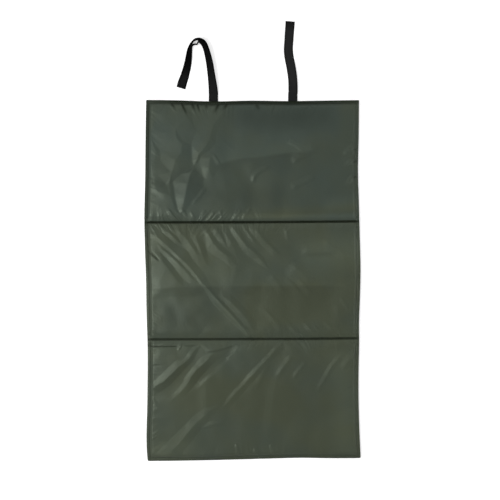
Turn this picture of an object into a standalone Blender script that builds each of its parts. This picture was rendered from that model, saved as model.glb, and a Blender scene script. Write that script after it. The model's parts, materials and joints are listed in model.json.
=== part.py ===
"""Unhooking mat: a padded mat of three panels on which a landed fish is laid.

Each panel is a foam slab between two nylon covers, bound at its outer edges. Two
sewn lines across the mat let it fold in three, and two webbing straps on the top
panel's edge tie it up.

Run it with blender --background --python part.py, or from the text editor.
Metres, +Z up, +X across the mat, +Y along it towards the straps. The origin is on
the floor, under the middle of the middle panel.
"""

import math

import bmesh
import bpy
from mathutils import Vector

# Mat, measured over the binding
MAT_WIDTH = 0.597
TOP_PANEL_LENGTH = 0.339
MIDDLE_PANEL_LENGTH = 0.327
BOTTOM_PANEL_LENGTH = 0.334
DRAW_IN = 0.0025
TOP_CORNER_RADIUS = 0.0025
BOTTOM_CORNER_RADIUS = 0.005

# Padding: height over both covers, the extra swell on top, and the slopes at its edges
PAD_HEIGHT = 0.013
CROWN = 0.0015
SIDE_SLOPE = 0.012
FOLD_SLOPE = 0.027

# Cloth
COVER_CLOTH = 0.0005
BINDING_CLOTH = 0.0005
BINDING_WIDTH = 0.008
BINDING_INNER_RADIUS = 0.001
FOLD_WIDTH = 0.0055
FOLD_GROOVE = 0.0004
LAYER_GAP = 0.0003

# Straps
WEBBING_WIDTH = 0.026
WEBBING_THICKNESS = 0.0015
STRAP_SPACING = 0.2215
STRAP_SEWN_LENGTH = 0.007
STRAP_ROOT_LENGTH = 0.012
STRAP_DROOP_LENGTH = 0.05
LEFT_STRAP_LENGTH = 0.320
RIGHT_STRAP_LENGTH = 0.211

# The second ply on the left strap, which buckles where the strap bends
TAPE_WIDTH = 0.022
TAPE_THICKNESS = 0.001
TAPE_LENGTH = 0.185
TAPE_END_MARGIN = 0.006
TAPE_BUCKLE = 0.0065
TAPE_BUCKLE_LENGTH = 0.036
TAPE_BUCKLE_SHARE = 0.58

# Stations of the covers and the foam, as shares of the slope that they divide
SIDE_SLOPE_SHARES = (0.34, 0.67, 1.0)
FOLD_SLOPE_SHARES = (0.2, 0.45, 0.7, 1.0)

# Numbers of cells in each mesh
UPPER_FLAT_COUNT = 9
LOWER_FLAT_COUNT = 2
LONG_FLAT_COUNT = 6
CORNER_COUNT = 4
FOLD_ACROSS_COUNT = 10
FOLD_ALONG_COUNT = 6
STRAP_COUNT = 24
TAPE_COUNT = 26
TAPE_LEAD_COUNT = 12
ROUTE_SAMPLE_COUNT = 400

# Routes of the straps on the floor, from the root: x and y as shares of the strap's
# length, then the roll as a share of a quarter turn, with the right edge lifted
LEFT_STRAP_SHARES = (
    (0.000, 0.000, 0.00),
    (0.000, 0.030, 0.00),
    (-0.005, 0.088, 0.22),
    (-0.018, 0.188, 0.39),
    (-0.033, 0.288, 0.46),
    (-0.056, 0.386, 0.62),
    (-0.075, 0.440, 0.76),
    (-0.118, 0.486, 0.90),
    (-0.163, 0.478, 0.93),
    (-0.190, 0.444, 0.84),
    (-0.203, 0.390, 0.66),
    (-0.217, 0.288, 0.50),
    (-0.242, 0.188, 0.34),
    (-0.266, 0.122, 0.20),
    (-0.283, 0.073, 0.12),
)
RIGHT_STRAP_SHARES = (
    (0.000, 0.000, 0.00),
    (0.000, 0.030, 0.00),
    (0.004, 0.078, 0.04),
    (-0.001, 0.232, 0.12),
    (-0.022, 0.385, 0.08),
    (-0.056, 0.585, -0.08),
    (-0.049, 0.769, -0.12),
    (-0.033, 0.994, -0.03),
)

# Colours as the photograph shows them, linear
OLIVE_NYLON = (0.060, 0.073, 0.052, 1.0)
UNDERSIDE_NYLON = (0.045, 0.055, 0.040, 1.0)
FOAM_GREY = (0.25, 0.26, 0.27, 1.0)
BLACK_WEBBING = (0.012, 0.012, 0.012, 1.0)
BLACK_TAPE = (0.009, 0.009, 0.009, 1.0)

# Heights that follow from the sizes above: the covers meet halfway up the padding
SEAM_HEIGHT = PAD_HEIGHT / 2
FLANGE_TOP = LAYER_GAP / 2 + COVER_CLOTH
BINDING_TOP = FLANGE_TOP + LAYER_GAP + BINDING_CLOTH
SWELL = SEAM_HEIGHT - FLANGE_TOP
STRAP_ROOT_TOP = SEAM_HEIGHT - BINDING_TOP - LAYER_GAP

# Places along the mat
TOP_FOLD = MIDDLE_PANEL_LENGTH / 2
BOTTOM_FOLD = -MIDDLE_PANEL_LENGTH / 2
TOP_EDGE = TOP_FOLD + TOP_PANEL_LENGTH
BOTTOM_EDGE = BOTTOM_FOLD - BOTTOM_PANEL_LENGTH
STRAP_HINGE = TOP_EDGE + STRAP_ROOT_LENGTH + LAYER_GAP / 2

# How far inside the binding's outer face the covers stop and their slopes start
COVER_INSET = BINDING_CLOTH + LAYER_GAP
SLOPE_INSET = BINDING_WIDTH + LAYER_GAP
INNER_CORNER_INSET = BINDING_WIDTH + BINDING_INNER_RADIUS
FOLD_INSET = FOLD_WIDTH / 2 + LAYER_GAP

COLLECTION = "Unhooking mat"


def spread(first, last, cells):
    """Evenly spaced stations from first to last."""
    return [first + (last - first) * step / cells for step in range(cells + 1)]


def rise(share):
    """A rounded slope, from 0 at its foot to 1 at its top."""
    return math.sin(math.pi / 2 * min(max(share, 0), 1))


class Panel:
    """One padded panel. An end with a corner radius is free and bound, one without is a fold."""

    def __init__(self, name, low, high, low_radius=0, high_radius=0):
        self.name = name
        self.low = low
        self.high = high
        self.low_radius = low_radius
        self.high_radius = high_radius

    def half_width(self, y):
        """Half the width over the binding: the sides draw in between the ends."""
        share = min(max((y - self.low) / (self.high - self.low), 0), 1)
        return MAT_WIDTH / 2 - DRAW_IN * math.sin(math.pi * share)

    def end_insets(self, radius):
        """Distances from one end to the cover's edge and to the stations of its slope."""
        if radius:
            slope = [SLOPE_INSET + SIDE_SLOPE * share for share in SIDE_SLOPE_SHARES]
            return [COVER_INSET, SLOPE_INSET] + slope
        return [FOLD_INSET] + [FOLD_INSET + FOLD_SLOPE * share for share in FOLD_SLOPE_SHARES]

    def stations(self):
        """The stations along the mat, which covers, foam and binding share."""
        low = [self.low + inset for inset in self.end_insets(self.low_radius)]
        high = [self.high - inset for inset in self.end_insets(self.high_radius)]
        return low[:-1] + spread(low[-1], high[-1], LONG_FLAT_COUNT) + high[-2::-1]

    def across(self, y, flat_cells):
        """The stations across the mat at one station along it."""
        half = self.half_width(y)
        insets = [COVER_INSET, SLOPE_INSET]
        insets += [SLOPE_INSET + SIDE_SLOPE * share for share in SIDE_SLOPE_SHARES]
        left = [inset - half for inset in insets]
        right = [half - inset for inset in insets]
        return left[:-1] + spread(left[-1], right[-1], flat_cells) + right[-2::-1]

    def end_rise(self, inset, radius):
        """How far up its slope the padding is, at a distance from one end."""
        if radius:
            return rise((inset - SLOPE_INSET) / SIDE_SLOPE)
        return rise((inset - FOLD_INSET) / FOLD_SLOPE)

    def swell(self, x, y):
        """Share of the full padding at a point: 0 on the flange, 1 on the flat."""
        side = rise((self.half_width(y) - abs(x) - SLOPE_INSET) / SIDE_SLOPE)
        low = self.end_rise(y - self.low, self.low_radius)
        high = self.end_rise(self.high - y, self.high_radius)
        return side * low * high

    def crown(self, x, y):
        """The gentle swell of the upper side over its flat."""
        half_length = (self.high - self.low) / 2
        along = (y - (self.low + self.high) / 2) / half_length
        across = x / self.half_width(y)
        arch = max(0, 1 - across**2) * max(0, 1 - along**2)
        return CROWN * math.sqrt(arch) * self.swell(x, y)

    def upper(self, x, y):
        """Height of the upper cover's outer face."""
        return SEAM_HEIGHT + FLANGE_TOP + SWELL * self.swell(x, y) + self.crown(x, y)

    def lower(self, x, y):
        """Height of the lower cover's outer face, which lies flat on the floor."""
        return SEAM_HEIGHT - FLANGE_TOP - SWELL * self.swell(x, y)


def make_material(name, colour, roughness):
    """A Principled material in a plain colour."""
    material = bpy.data.materials.new(name)
    material.use_nodes = True
    shader = material.node_tree.nodes["Principled BSDF"]
    shader.inputs["Base Color"].default_value = colour
    shader.inputs["Roughness"].default_value = roughness
    shader.inputs["Metallic"].default_value = 0
    material.diffuse_color = colour
    return material


def add_pivot(name, place, parent=None):
    """An empty, on a joint's axis or at the origin, which carries the pieces of one body."""
    pivot = bpy.data.objects.new(name, None)
    pivot.empty_display_size = PAD_HEIGHT
    pivot.parent = parent
    pivot.location = place - parent.matrix_world.translation if parent else place
    bpy.data.collections[COLLECTION].objects.link(pivot)
    bpy.context.view_layer.update()
    return pivot


def add_piece(name, bm, pivot, colour, roughness):
    """Turns a bmesh in world coordinates into an object whose origin is its pivot's."""
    bmesh.ops.translate(bm, verts=bm.verts, vec=-pivot.matrix_world.translation)
    mesh = bpy.data.meshes.new(name)
    bm.to_mesh(mesh)
    bm.free()
    mesh.shade_smooth()
    mesh.set_sharp_from_angle(angle=math.radians(35))
    mesh.materials.append(make_material(name, colour, roughness))
    piece = bpy.data.objects.new(name, mesh)
    piece.parent = pivot
    bpy.data.collections[COLLECTION].objects.link(piece)
    return piece


def thicken(piece, thickness):
    """Gives an open surface the thickness of its cloth, behind its outer face."""
    shell = piece.modifiers.new("Cloth", "SOLIDIFY")
    shell.thickness = thickness
    shell.offset = -1
    shell.use_even_offset = True
    shell.use_quality_normals = True


def sheet(rows):
    """A grid through rows of points, whose cells are all split the same way."""
    bm = bmesh.new()
    made = bmesh.ops.create_grid(bm, x_segments=len(rows[0]) - 1, y_segments=len(rows) - 1)
    for vert, point in zip(made["verts"], [point for row in rows for point in row]):
        vert.co = point
    bmesh.ops.triangulate(bm, faces=bm.faces, quad_method="FIXED")
    return bm


def slab(rows, floor):
    """A closed solid from a sheet down to the floor's height at each of its points."""
    bm = sheet(rows)
    made = bmesh.ops.extrude_face_region(bm, geom=bm.faces[:])
    for item in made["geom"]:
        if isinstance(item, bmesh.types.BMVert):
            item.co.z = floor(item.co.x, item.co.y)
    bmesh.ops.recalc_face_normals(bm, faces=bm.faces)
    return bm


def cover_rows(panel, flat_cells, height):
    """Points of a cover's outer face. Its free corners stay inside the rounded binding."""
    rows = []
    for y in panel.stations():
        rows.append([Vector((x, y, height(x, y))) for x in panel.across(y, flat_cells)])
    for row, end, radius in ((rows[0], 1, panel.low_radius), (rows[-1], -1, panel.high_radius)):
        inwards = max(0, radius - COVER_INSET) * (1 - math.sqrt(0.5))
        row[0] += Vector((inwards, end * inwards, 0))
        row[-1] += Vector((-inwards, end * inwards, 0))
    return rows


def add_covers(panel, pivot):
    """The upper and the lower cover of a panel."""
    upper = sheet(cover_rows(panel, UPPER_FLAT_COUNT, panel.upper))
    thicken(add_piece(panel.name + "_upper_cover", upper, pivot, OLIVE_NYLON, 0.42), COVER_CLOTH)
    lower = sheet(cover_rows(panel, LOWER_FLAT_COUNT, panel.lower))
    bmesh.ops.reverse_faces(lower, faces=lower.faces)
    thicken(add_piece(panel.name + "_lower_cover", lower, pivot, UNDERSIDE_NYLON, 0.5), COVER_CLOTH)


def clearance(height, x, y):
    """Height from a cover's outer face to the foam: cloth and gap, square to the slope."""
    step = COVER_CLOTH
    slope_x = (height(x + step, y) - height(x - step, y)) / (2 * step)
    slope_y = (height(x, y + step) - height(x, y - step)) / (2 * step)
    return (COVER_CLOTH + LAYER_GAP) * math.sqrt(1 + slope_x**2 + slope_y**2)


def add_foam(panel, pivot):
    """The foam slab, which fills the covers from the first station up each slope."""
    first = 2 if panel.low_radius else 1
    last = -2 if panel.high_radius else -1
    rows = []
    for y in panel.stations()[first:last]:
        line = panel.across(y, UPPER_FLAT_COUNT)[2:-2]
        rows.append([Vector((x, y, panel.upper(x, y) - clearance(panel.upper, x, y))) for x in line])
    foam = slab(rows, lambda x, y: panel.lower(x, y) + clearance(panel.lower, x, y))
    add_piece(panel.name + "_foam", foam, pivot, FOAM_GREY, 0.9)


def side_path(panel, side):
    """Outer and inner points of the binding up one side, from the low to the high end."""
    low = panel.low + (INNER_CORNER_INSET if panel.low_radius else 0)
    high = panel.high - (INNER_CORNER_INSET if panel.high_radius else 0)
    path = []
    for y in panel.stations():
        if low < y < high:
            half = panel.half_width(y)
            path.append((Vector((side * half, y, 0)), Vector((side * (half - BINDING_WIDTH), y, 0))))
    return path


def corner_path(side, end, edge, radius):
    """Outer and inner points round a free corner, from the side to the end."""
    path = []
    for step in range(CORNER_COUNT + 1):
        angle = math.pi / 2 * step / CORNER_COUNT
        arm = Vector((side * math.cos(angle), end * math.sin(angle), 0))
        outer = Vector((side * (MAT_WIDTH / 2 - radius), edge - end * radius, 0))
        inner = Vector((side * (MAT_WIDTH / 2 - INNER_CORNER_INSET), edge - end * INNER_CORNER_INSET, 0))
        path.append((outer + arm * radius, inner + arm * BINDING_INNER_RADIUS))
    return path


def add_binding(name, path, pivot):
    """A strip of cloth folded round the edges of both covers, clockwise along a path."""
    upper = Vector((0, 0, SEAM_HEIGHT + BINDING_TOP))
    lower = Vector((0, 0, SEAM_HEIGHT - BINDING_TOP))
    rows = [
        [inner + upper for outer, inner in path],
        [outer + upper for outer, inner in path],
        [outer + lower for outer, inner in path],
        [inner + lower for outer, inner in path],
    ]
    thicken(add_piece(name, sheet(rows), pivot, OLIVE_NYLON, 0.42), BINDING_CLOTH)


def add_bindings(panel, pivot):
    """The binding of a panel: one strip round its three free sides, or one for each side."""
    left = side_path(panel, -1)
    right = side_path(panel, 1)[::-1]
    if panel.high_radius:
        first = corner_path(-1, 1, panel.high, panel.high_radius)
        second = corner_path(1, 1, panel.high, panel.high_radius)[::-1]
        add_binding(panel.name + "_binding", left + first + second + right, pivot)
    elif panel.low_radius:
        first = corner_path(1, -1, panel.low, panel.low_radius)
        second = corner_path(-1, -1, panel.low, panel.low_radius)[::-1]
        add_binding(panel.name + "_binding", right + first + second + left, pivot)
    else:
        add_binding(panel.name + "_left_binding", left, pivot)
        add_binding(panel.name + "_right_binding", right, pivot)


def add_fold(name, fold, pivot):
    """The sewn strip between two panels: both covers, drawn together at the stitch line."""

    def top(y):
        pinch = FOLD_GROOVE * (1 - (2 * (y - fold) / FOLD_WIDTH) ** 2)
        return SEAM_HEIGHT + FLANGE_TOP - pinch

    rows = []
    for y in spread(fold - FOLD_WIDTH / 2, fold + FOLD_WIDTH / 2, FOLD_ALONG_COUNT):
        line = spread(-MAT_WIDTH / 2, MAT_WIDTH / 2, FOLD_ACROSS_COUNT)
        rows.append([Vector((x, y, top(y))) for x in line])
    strip = slab(rows, lambda x, y: 2 * SEAM_HEIGHT - top(y))
    add_piece(name, strip, pivot, OLIVE_NYLON, 0.42)


def add_panel(panel, pivot):
    """All the pieces of one padded panel."""
    add_foam(panel, pivot)
    add_covers(panel, pivot)
    add_bindings(panel, pivot)


def smooth_route(knots, samples):
    """Points along a smooth curve through the knots."""
    padded = [2 * knots[0] - knots[1]] + knots + [2 * knots[-1] - knots[-2]]
    route = []
    for step in range(samples + 1):
        place = (len(knots) - 1) * step / samples
        first = min(int(place), len(knots) - 2)
        t = place - first
        a, b, c, d = padded[first : first + 4]
        bend = (2 * a - 5 * b + 4 * c - d) * t**2 + (3 * (b - c) + d - a) * t**3
        route.append((2 * b + (c - a) * t + bend) / 2)
    return route


class StrapRoute:
    """The way a strap lies, from its hinge at the mat's edge to its tip."""

    def __init__(self, root_x, length, shares):
        self.length = length
        self.points = smooth_route([Vector(row) for row in shares], ROUTE_SAMPLE_COUNT)
        self.places = [0]
        for before, after in zip(self.points, self.points[1:]):
            self.places.append(self.places[-1] + (after - before).xy.length)
        self.scale = length / self.places[-1]
        self.root_x = root_x

    def lie(self, distance):
        """Centre and roll of the webbing at a distance from the hinge."""
        wanted = min(max(distance / self.scale, 0), self.places[-1])
        after = next(n for n, place in enumerate(self.places) if place >= wanted and n)
        span = self.places[after] - self.places[after - 1]
        share = (wanted - self.places[after - 1]) / span
        point = self.points[after - 1].lerp(self.points[after], share)
        roll = point.z * math.pi / 2
        contact = abs(math.sin(roll)) * WEBBING_WIDTH / 2 + math.cos(roll) * WEBBING_THICKNESS / 2
        droop = math.cos(math.pi * min(distance / STRAP_DROOP_LENGTH, 1)) / 2 + 1 / 2
        height = contact + (STRAP_ROOT_TOP - WEBBING_THICKNESS) * droop
        x = self.root_x + point.x * self.scale
        return Vector((x, STRAP_HINGE + point.y * self.scale, height)), roll

    def frame(self, distance):
        """Centre, direction to the right edge and direction out of the upper face."""
        step = WEBBING_THICKNESS
        centre, roll = self.lie(distance)
        before, _ = self.lie(max(distance - step, 0))
        after, _ = self.lie(min(distance + step, self.length))
        heading = (after - before).normalized()
        level = heading.cross(Vector((0, 0, 1))).normalized()
        right = level * math.cos(roll) + level.cross(heading) * math.sin(roll)
        return centre, right, right.cross(heading)

    def rows(self, distances, width, lift):
        """Points of a strip's upper face, lifted square to the webbing's middle."""
        rows = []
        for distance in distances:
            centre, right, out = self.frame(distance)
            middle = centre + out * lift(distance)
            rows.append([middle - right * width / 2, middle + right * width / 2])
        return rows


def add_strap(name, route, distances, pivot):
    """The free webbing, through its stations from just outside the hinge to the tip."""
    rows = route.rows(distances, WEBBING_WIDTH, lambda distance: WEBBING_THICKNESS / 2)
    thicken(add_piece(name, sheet(rows), pivot, BLACK_WEBBING, 0.85), WEBBING_THICKNESS)


def add_tape(name, route, distances, pivot):
    """The second ply on a strap's inner face, which stands off where the strap bends."""
    flat = WEBBING_THICKNESS / 2 + LAYER_GAP + TAPE_THICKNESS

    def lift(distance):
        share = (distance - TAPE_BUCKLE_SHARE * route.length) / TAPE_BUCKLE_LENGTH
        if abs(share) > 1 / 2:
            return flat
        return flat + TAPE_BUCKLE * math.cos(math.pi * share) ** 2

    rows = route.rows(distances, TAPE_WIDTH, lift)
    thicken(add_piece(name, sheet(rows), pivot, BLACK_TAPE, 0.95), TAPE_THICKNESS)


def add_left_strap(route, pivot):
    """The left webbing and its second ply, which share their stations at the bend."""
    tape_end = route.length - TAPE_END_MARGIN
    lead = spread(LAYER_GAP / 2, tape_end - TAPE_LENGTH, TAPE_LEAD_COUNT)
    doubled = spread(tape_end - TAPE_LENGTH, tape_end, TAPE_COUNT)
    add_strap("left_strap", route, lead[:-1] + doubled + [route.length], pivot)
    add_tape("left_strap_tape", route, doubled, pivot)


def add_strap_root(name, root_x, pivot):
    """The strap's sewn end: it lies under the binding and stands out of the mat's edge."""
    rows = []
    for y in (TOP_EDGE - STRAP_SEWN_LENGTH, TOP_EDGE, STRAP_HINGE - LAYER_GAP / 2):
        left = Vector((root_x - WEBBING_WIDTH / 2, y, STRAP_ROOT_TOP))
        rows.append([left, left + Vector((WEBBING_WIDTH, 0, 0))])
    thicken(add_piece(name, sheet(rows), pivot, BLACK_WEBBING, 0.85), WEBBING_THICKNESS)


def clear_scene():
    """Removes what the scene holds and adds the collection for the parts."""
    for obj in list(bpy.data.objects):
        bpy.data.objects.remove(obj, do_unlink=True)
    parts = bpy.data.collections.new(COLLECTION)
    bpy.context.scene.collection.children.link(parts)


def main():
    """Builds the mat, from the bottom panel on the floor to the straps."""
    clear_scene()
    bottom = Panel("bottom", BOTTOM_EDGE, BOTTOM_FOLD, low_radius=BOTTOM_CORNER_RADIUS)
    middle = Panel("middle", BOTTOM_FOLD, TOP_FOLD)
    top = Panel("top", TOP_FOLD, TOP_EDGE, high_radius=TOP_CORNER_RADIUS)

    # The lower fold turns upwards over the padding, the upper one downwards under it
    over = PAD_HEIGHT + CROWN + LAYER_GAP
    bottom_pivot = add_pivot("bottom_panel", Vector((0, 0, 0)))
    middle_pivot = add_pivot("middle_panel", Vector((0, BOTTOM_FOLD, over)), bottom_pivot)
    top_pivot = add_pivot("top_panel", Vector((0, TOP_FOLD, -LAYER_GAP)), middle_pivot)
    left_x = -STRAP_SPACING / 2
    right_x = STRAP_SPACING / 2
    left_pivot = add_pivot("left_strap_hinge", Vector((left_x, STRAP_HINGE, STRAP_ROOT_TOP)), top_pivot)
    right_pivot = add_pivot("right_strap_hinge", Vector((right_x, STRAP_HINGE, STRAP_ROOT_TOP)), top_pivot)

    add_panel(bottom, bottom_pivot)
    add_panel(middle, middle_pivot)
    add_panel(top, top_pivot)
    add_fold("bottom_fold", BOTTOM_FOLD, bottom_pivot)
    add_fold("top_fold", TOP_FOLD, middle_pivot)
    add_strap_root("left_strap_root", left_x, top_pivot)
    add_strap_root("right_strap_root", right_x, top_pivot)

    add_left_strap(StrapRoute(left_x, LEFT_STRAP_LENGTH, LEFT_STRAP_SHARES), left_pivot)
    right_route = StrapRoute(right_x, RIGHT_STRAP_LENGTH, RIGHT_STRAP_SHARES)
    distances = spread(LAYER_GAP / 2, RIGHT_STRAP_LENGTH, STRAP_COUNT)
    add_strap("right_strap", right_route, distances, right_pivot)


if __name__ == "__main__":
    main()
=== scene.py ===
"""Looks of the unhooking mat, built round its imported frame.

The mat is coated nylon over three foam slabs, bound at its edges and sewn down at two
folds, with two webbing straps. The file is laid out as an add-on and run as a script:
each operator makes one group of pieces, and main() calls them in order. Metres, +Z up,
+X across the mat and +Y along it, towards the straps.
"""

import functools
import json
import math
from collections import namedtuple

import bpy
import numpy as np
from bpy.props import FloatProperty, FloatVectorProperty, PointerProperty
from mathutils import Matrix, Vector
from mathutils.geometry import delaunay_2d_cdt


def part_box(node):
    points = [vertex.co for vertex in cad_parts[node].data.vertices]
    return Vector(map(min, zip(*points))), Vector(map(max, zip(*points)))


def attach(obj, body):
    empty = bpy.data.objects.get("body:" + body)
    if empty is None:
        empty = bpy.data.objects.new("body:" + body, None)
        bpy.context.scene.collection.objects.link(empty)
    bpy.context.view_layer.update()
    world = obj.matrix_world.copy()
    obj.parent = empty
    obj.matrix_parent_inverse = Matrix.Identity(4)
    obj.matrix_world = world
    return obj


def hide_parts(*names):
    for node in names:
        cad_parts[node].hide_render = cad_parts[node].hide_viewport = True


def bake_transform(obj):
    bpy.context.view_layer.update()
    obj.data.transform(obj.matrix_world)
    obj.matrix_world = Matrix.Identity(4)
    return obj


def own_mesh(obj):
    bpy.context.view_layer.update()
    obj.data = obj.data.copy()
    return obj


bl_info = {
    "name": "Unhooking Mat",
    "version": (1, 0, 0),
    "blender": (4, 5, 0),
    "location": "3D View > Sidebar > Unhooking Mat",
    "description": "Padded covers, binding, stitches and straps of a folding unhooking mat",
    "category": "Add Mesh",
}

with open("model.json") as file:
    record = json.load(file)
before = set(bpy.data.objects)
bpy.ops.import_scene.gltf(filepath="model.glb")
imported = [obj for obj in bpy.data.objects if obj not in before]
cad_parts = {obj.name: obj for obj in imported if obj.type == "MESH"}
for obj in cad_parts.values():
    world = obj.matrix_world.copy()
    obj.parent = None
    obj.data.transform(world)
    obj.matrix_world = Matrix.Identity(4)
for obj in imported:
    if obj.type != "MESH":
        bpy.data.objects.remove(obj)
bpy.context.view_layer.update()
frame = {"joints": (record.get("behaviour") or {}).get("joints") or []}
HINGES = {joint["name"]: Vector(joint["pos_m"]) for joint in frame["joints"]}

MM = 0.001

# Photograph: the width of a pixel on the mat, and the pixel over the frame's origin
PIXEL = 2.789 * MM
ORIGIN_PIXEL_X = 253.1
ORIGIN_PIXEL_Y = 280.7
PHOTO_SIDE = 500

# Heights: the seam's over the floor, the sewn flange's over the seam, the padding's over the
# flange, and the upper side's crown over that
SEAM_HEIGHT = (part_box("top_binding")[0].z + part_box("top_binding")[1].z) / 2
FLANGE_TOP = 0.65 * MM
SWELL = SEAM_HEIGHT - FLANGE_TOP
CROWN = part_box("middle_upper_cover")[1].z - 2 * SEAM_HEIGHT

# Plan, from the frame
BOTTOM_FOLD = HINGES["bottom_fold_hinge"].y
TOP_FOLD = HINGES["top_fold_hinge"].y
BOTTOM_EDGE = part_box("bottom_binding")[0].y
TOP_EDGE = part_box("top_binding")[1].y
LEVELS = (BOTTOM_EDGE, BOTTOM_FOLD, TOP_FOLD, TOP_EDGE)
MAT_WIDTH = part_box("top_fold")[1].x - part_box("top_fold")[0].x
PANELS = ("bottom", "middle", "top")
LAST_PANEL = len(PANELS) - 1
FOLDS = ((1, "bottom_fold"), (2, "top_fold"))

# The padding's slopes: where they start at a bound edge and how wide they are, and beside a
# fold a steep bulge with a long slope over it
COVER_INSET = 0.8 * MM
SLOPE_INSET = 8.3 * MM
SIDE_SLOPE = 9.5 * MM
FOLD_SLOPE = 27 * MM
FOLD_BULGE = 6 * MM
FOLD_BULGE_SHARE = 0.34

# Folds: how far their own cloth reaches
FOLD_REACH = 14 * MM

# Stations of the cloth: close to a fold, close to a bound edge, and between them
FOLD_STATIONS = (
    0, 0.9 * MM, 1.8 * MM, 2.8 * MM, 4 * MM, 5.6 * MM, 7.6 * MM, 9.8 * MM, 12 * MM, FOLD_REACH,
)
EDGE_STATIONS = (COVER_INSET, 4.5 * MM, SLOPE_INSET, 10.3 * MM, 12.5 * MM)
FINE_STEP = 2.5 * MM
COARSE_STEP = 6 * MM
PLACING_ROUNDS = 3

# Foam: its stations, how many of them it keeps clear of its panel's bound edges, and how far
# it keeps from the covers
FOAM_STEP = 12 * MM
FOAM_TRIM = 3
FOAM_CLEARANCE = 1.2 * MM

# Outline of the mat, in the photograph's pixels: the sides as (y, x), the rest as (x, y)
LEFT_SIDE = (
    (100, 146.1), (140, 145.5), (180, 145.1), (220, 144.3), (250, 145.0), (280, 146.0),
    (310, 146.5), (345, 147.5), (400, 147.3), (450, 146.8), (460, 147.5),
)
RIGHT_SIDE = (
    (100, 359.1), (140, 358.7), (170, 358.1), (200, 358.9), (235, 359.8), (270, 360.6),
    (300, 359.9), (320, 359.2), (345, 359.2), (370, 358.7), (400, 358.7), (430, 359.5), (457, 360.7),
)
TOP_LINE = (
    (146, 99.9), (175, 100.3), (212, 101.4), (252, 100.7), (289, 101.1), (325, 100.6), (359, 100.1),
)
TOP_FOLD_LINE = ((145, 222.3), (200, 222.3), (290, 222.0), (359, 221.4))
BOTTOM_FOLD_LINE = ((147, 339.3), (200, 339.2), (250, 338.95), (300, 338.8), (359, 338.2))
BOTTOM_LINE = (
    (147, 461.0), (180, 460.7), (212, 460.1), (240, 459.4), (275, 458.4), (300, 457.8),
    (330, 458.2), (360, 458.1),
)
LEVEL_LINES = (BOTTOM_LINE, BOTTOM_FOLD_LINE, TOP_FOLD_LINE, TOP_LINE)

# One crease of the cloth, or a mark laid out like one: its crest in pixels, its value on the
# crest, and how far its lit (west) and far sides run out in millimetres, either one width or
# several along the crest. The value is a crease's height in millimetres, negative where the
# cloth is drawn down, or a mark's share.
# Its sides are flat at soft 0 and rounded at 1. It fades over the shares of its length at
# its two ends.
Crease = namedtuple("Crease", "path value lit far soft ends", defaults=(0.15, (0.2, 0.3)))
CREASE_STEPS = 5

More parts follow.
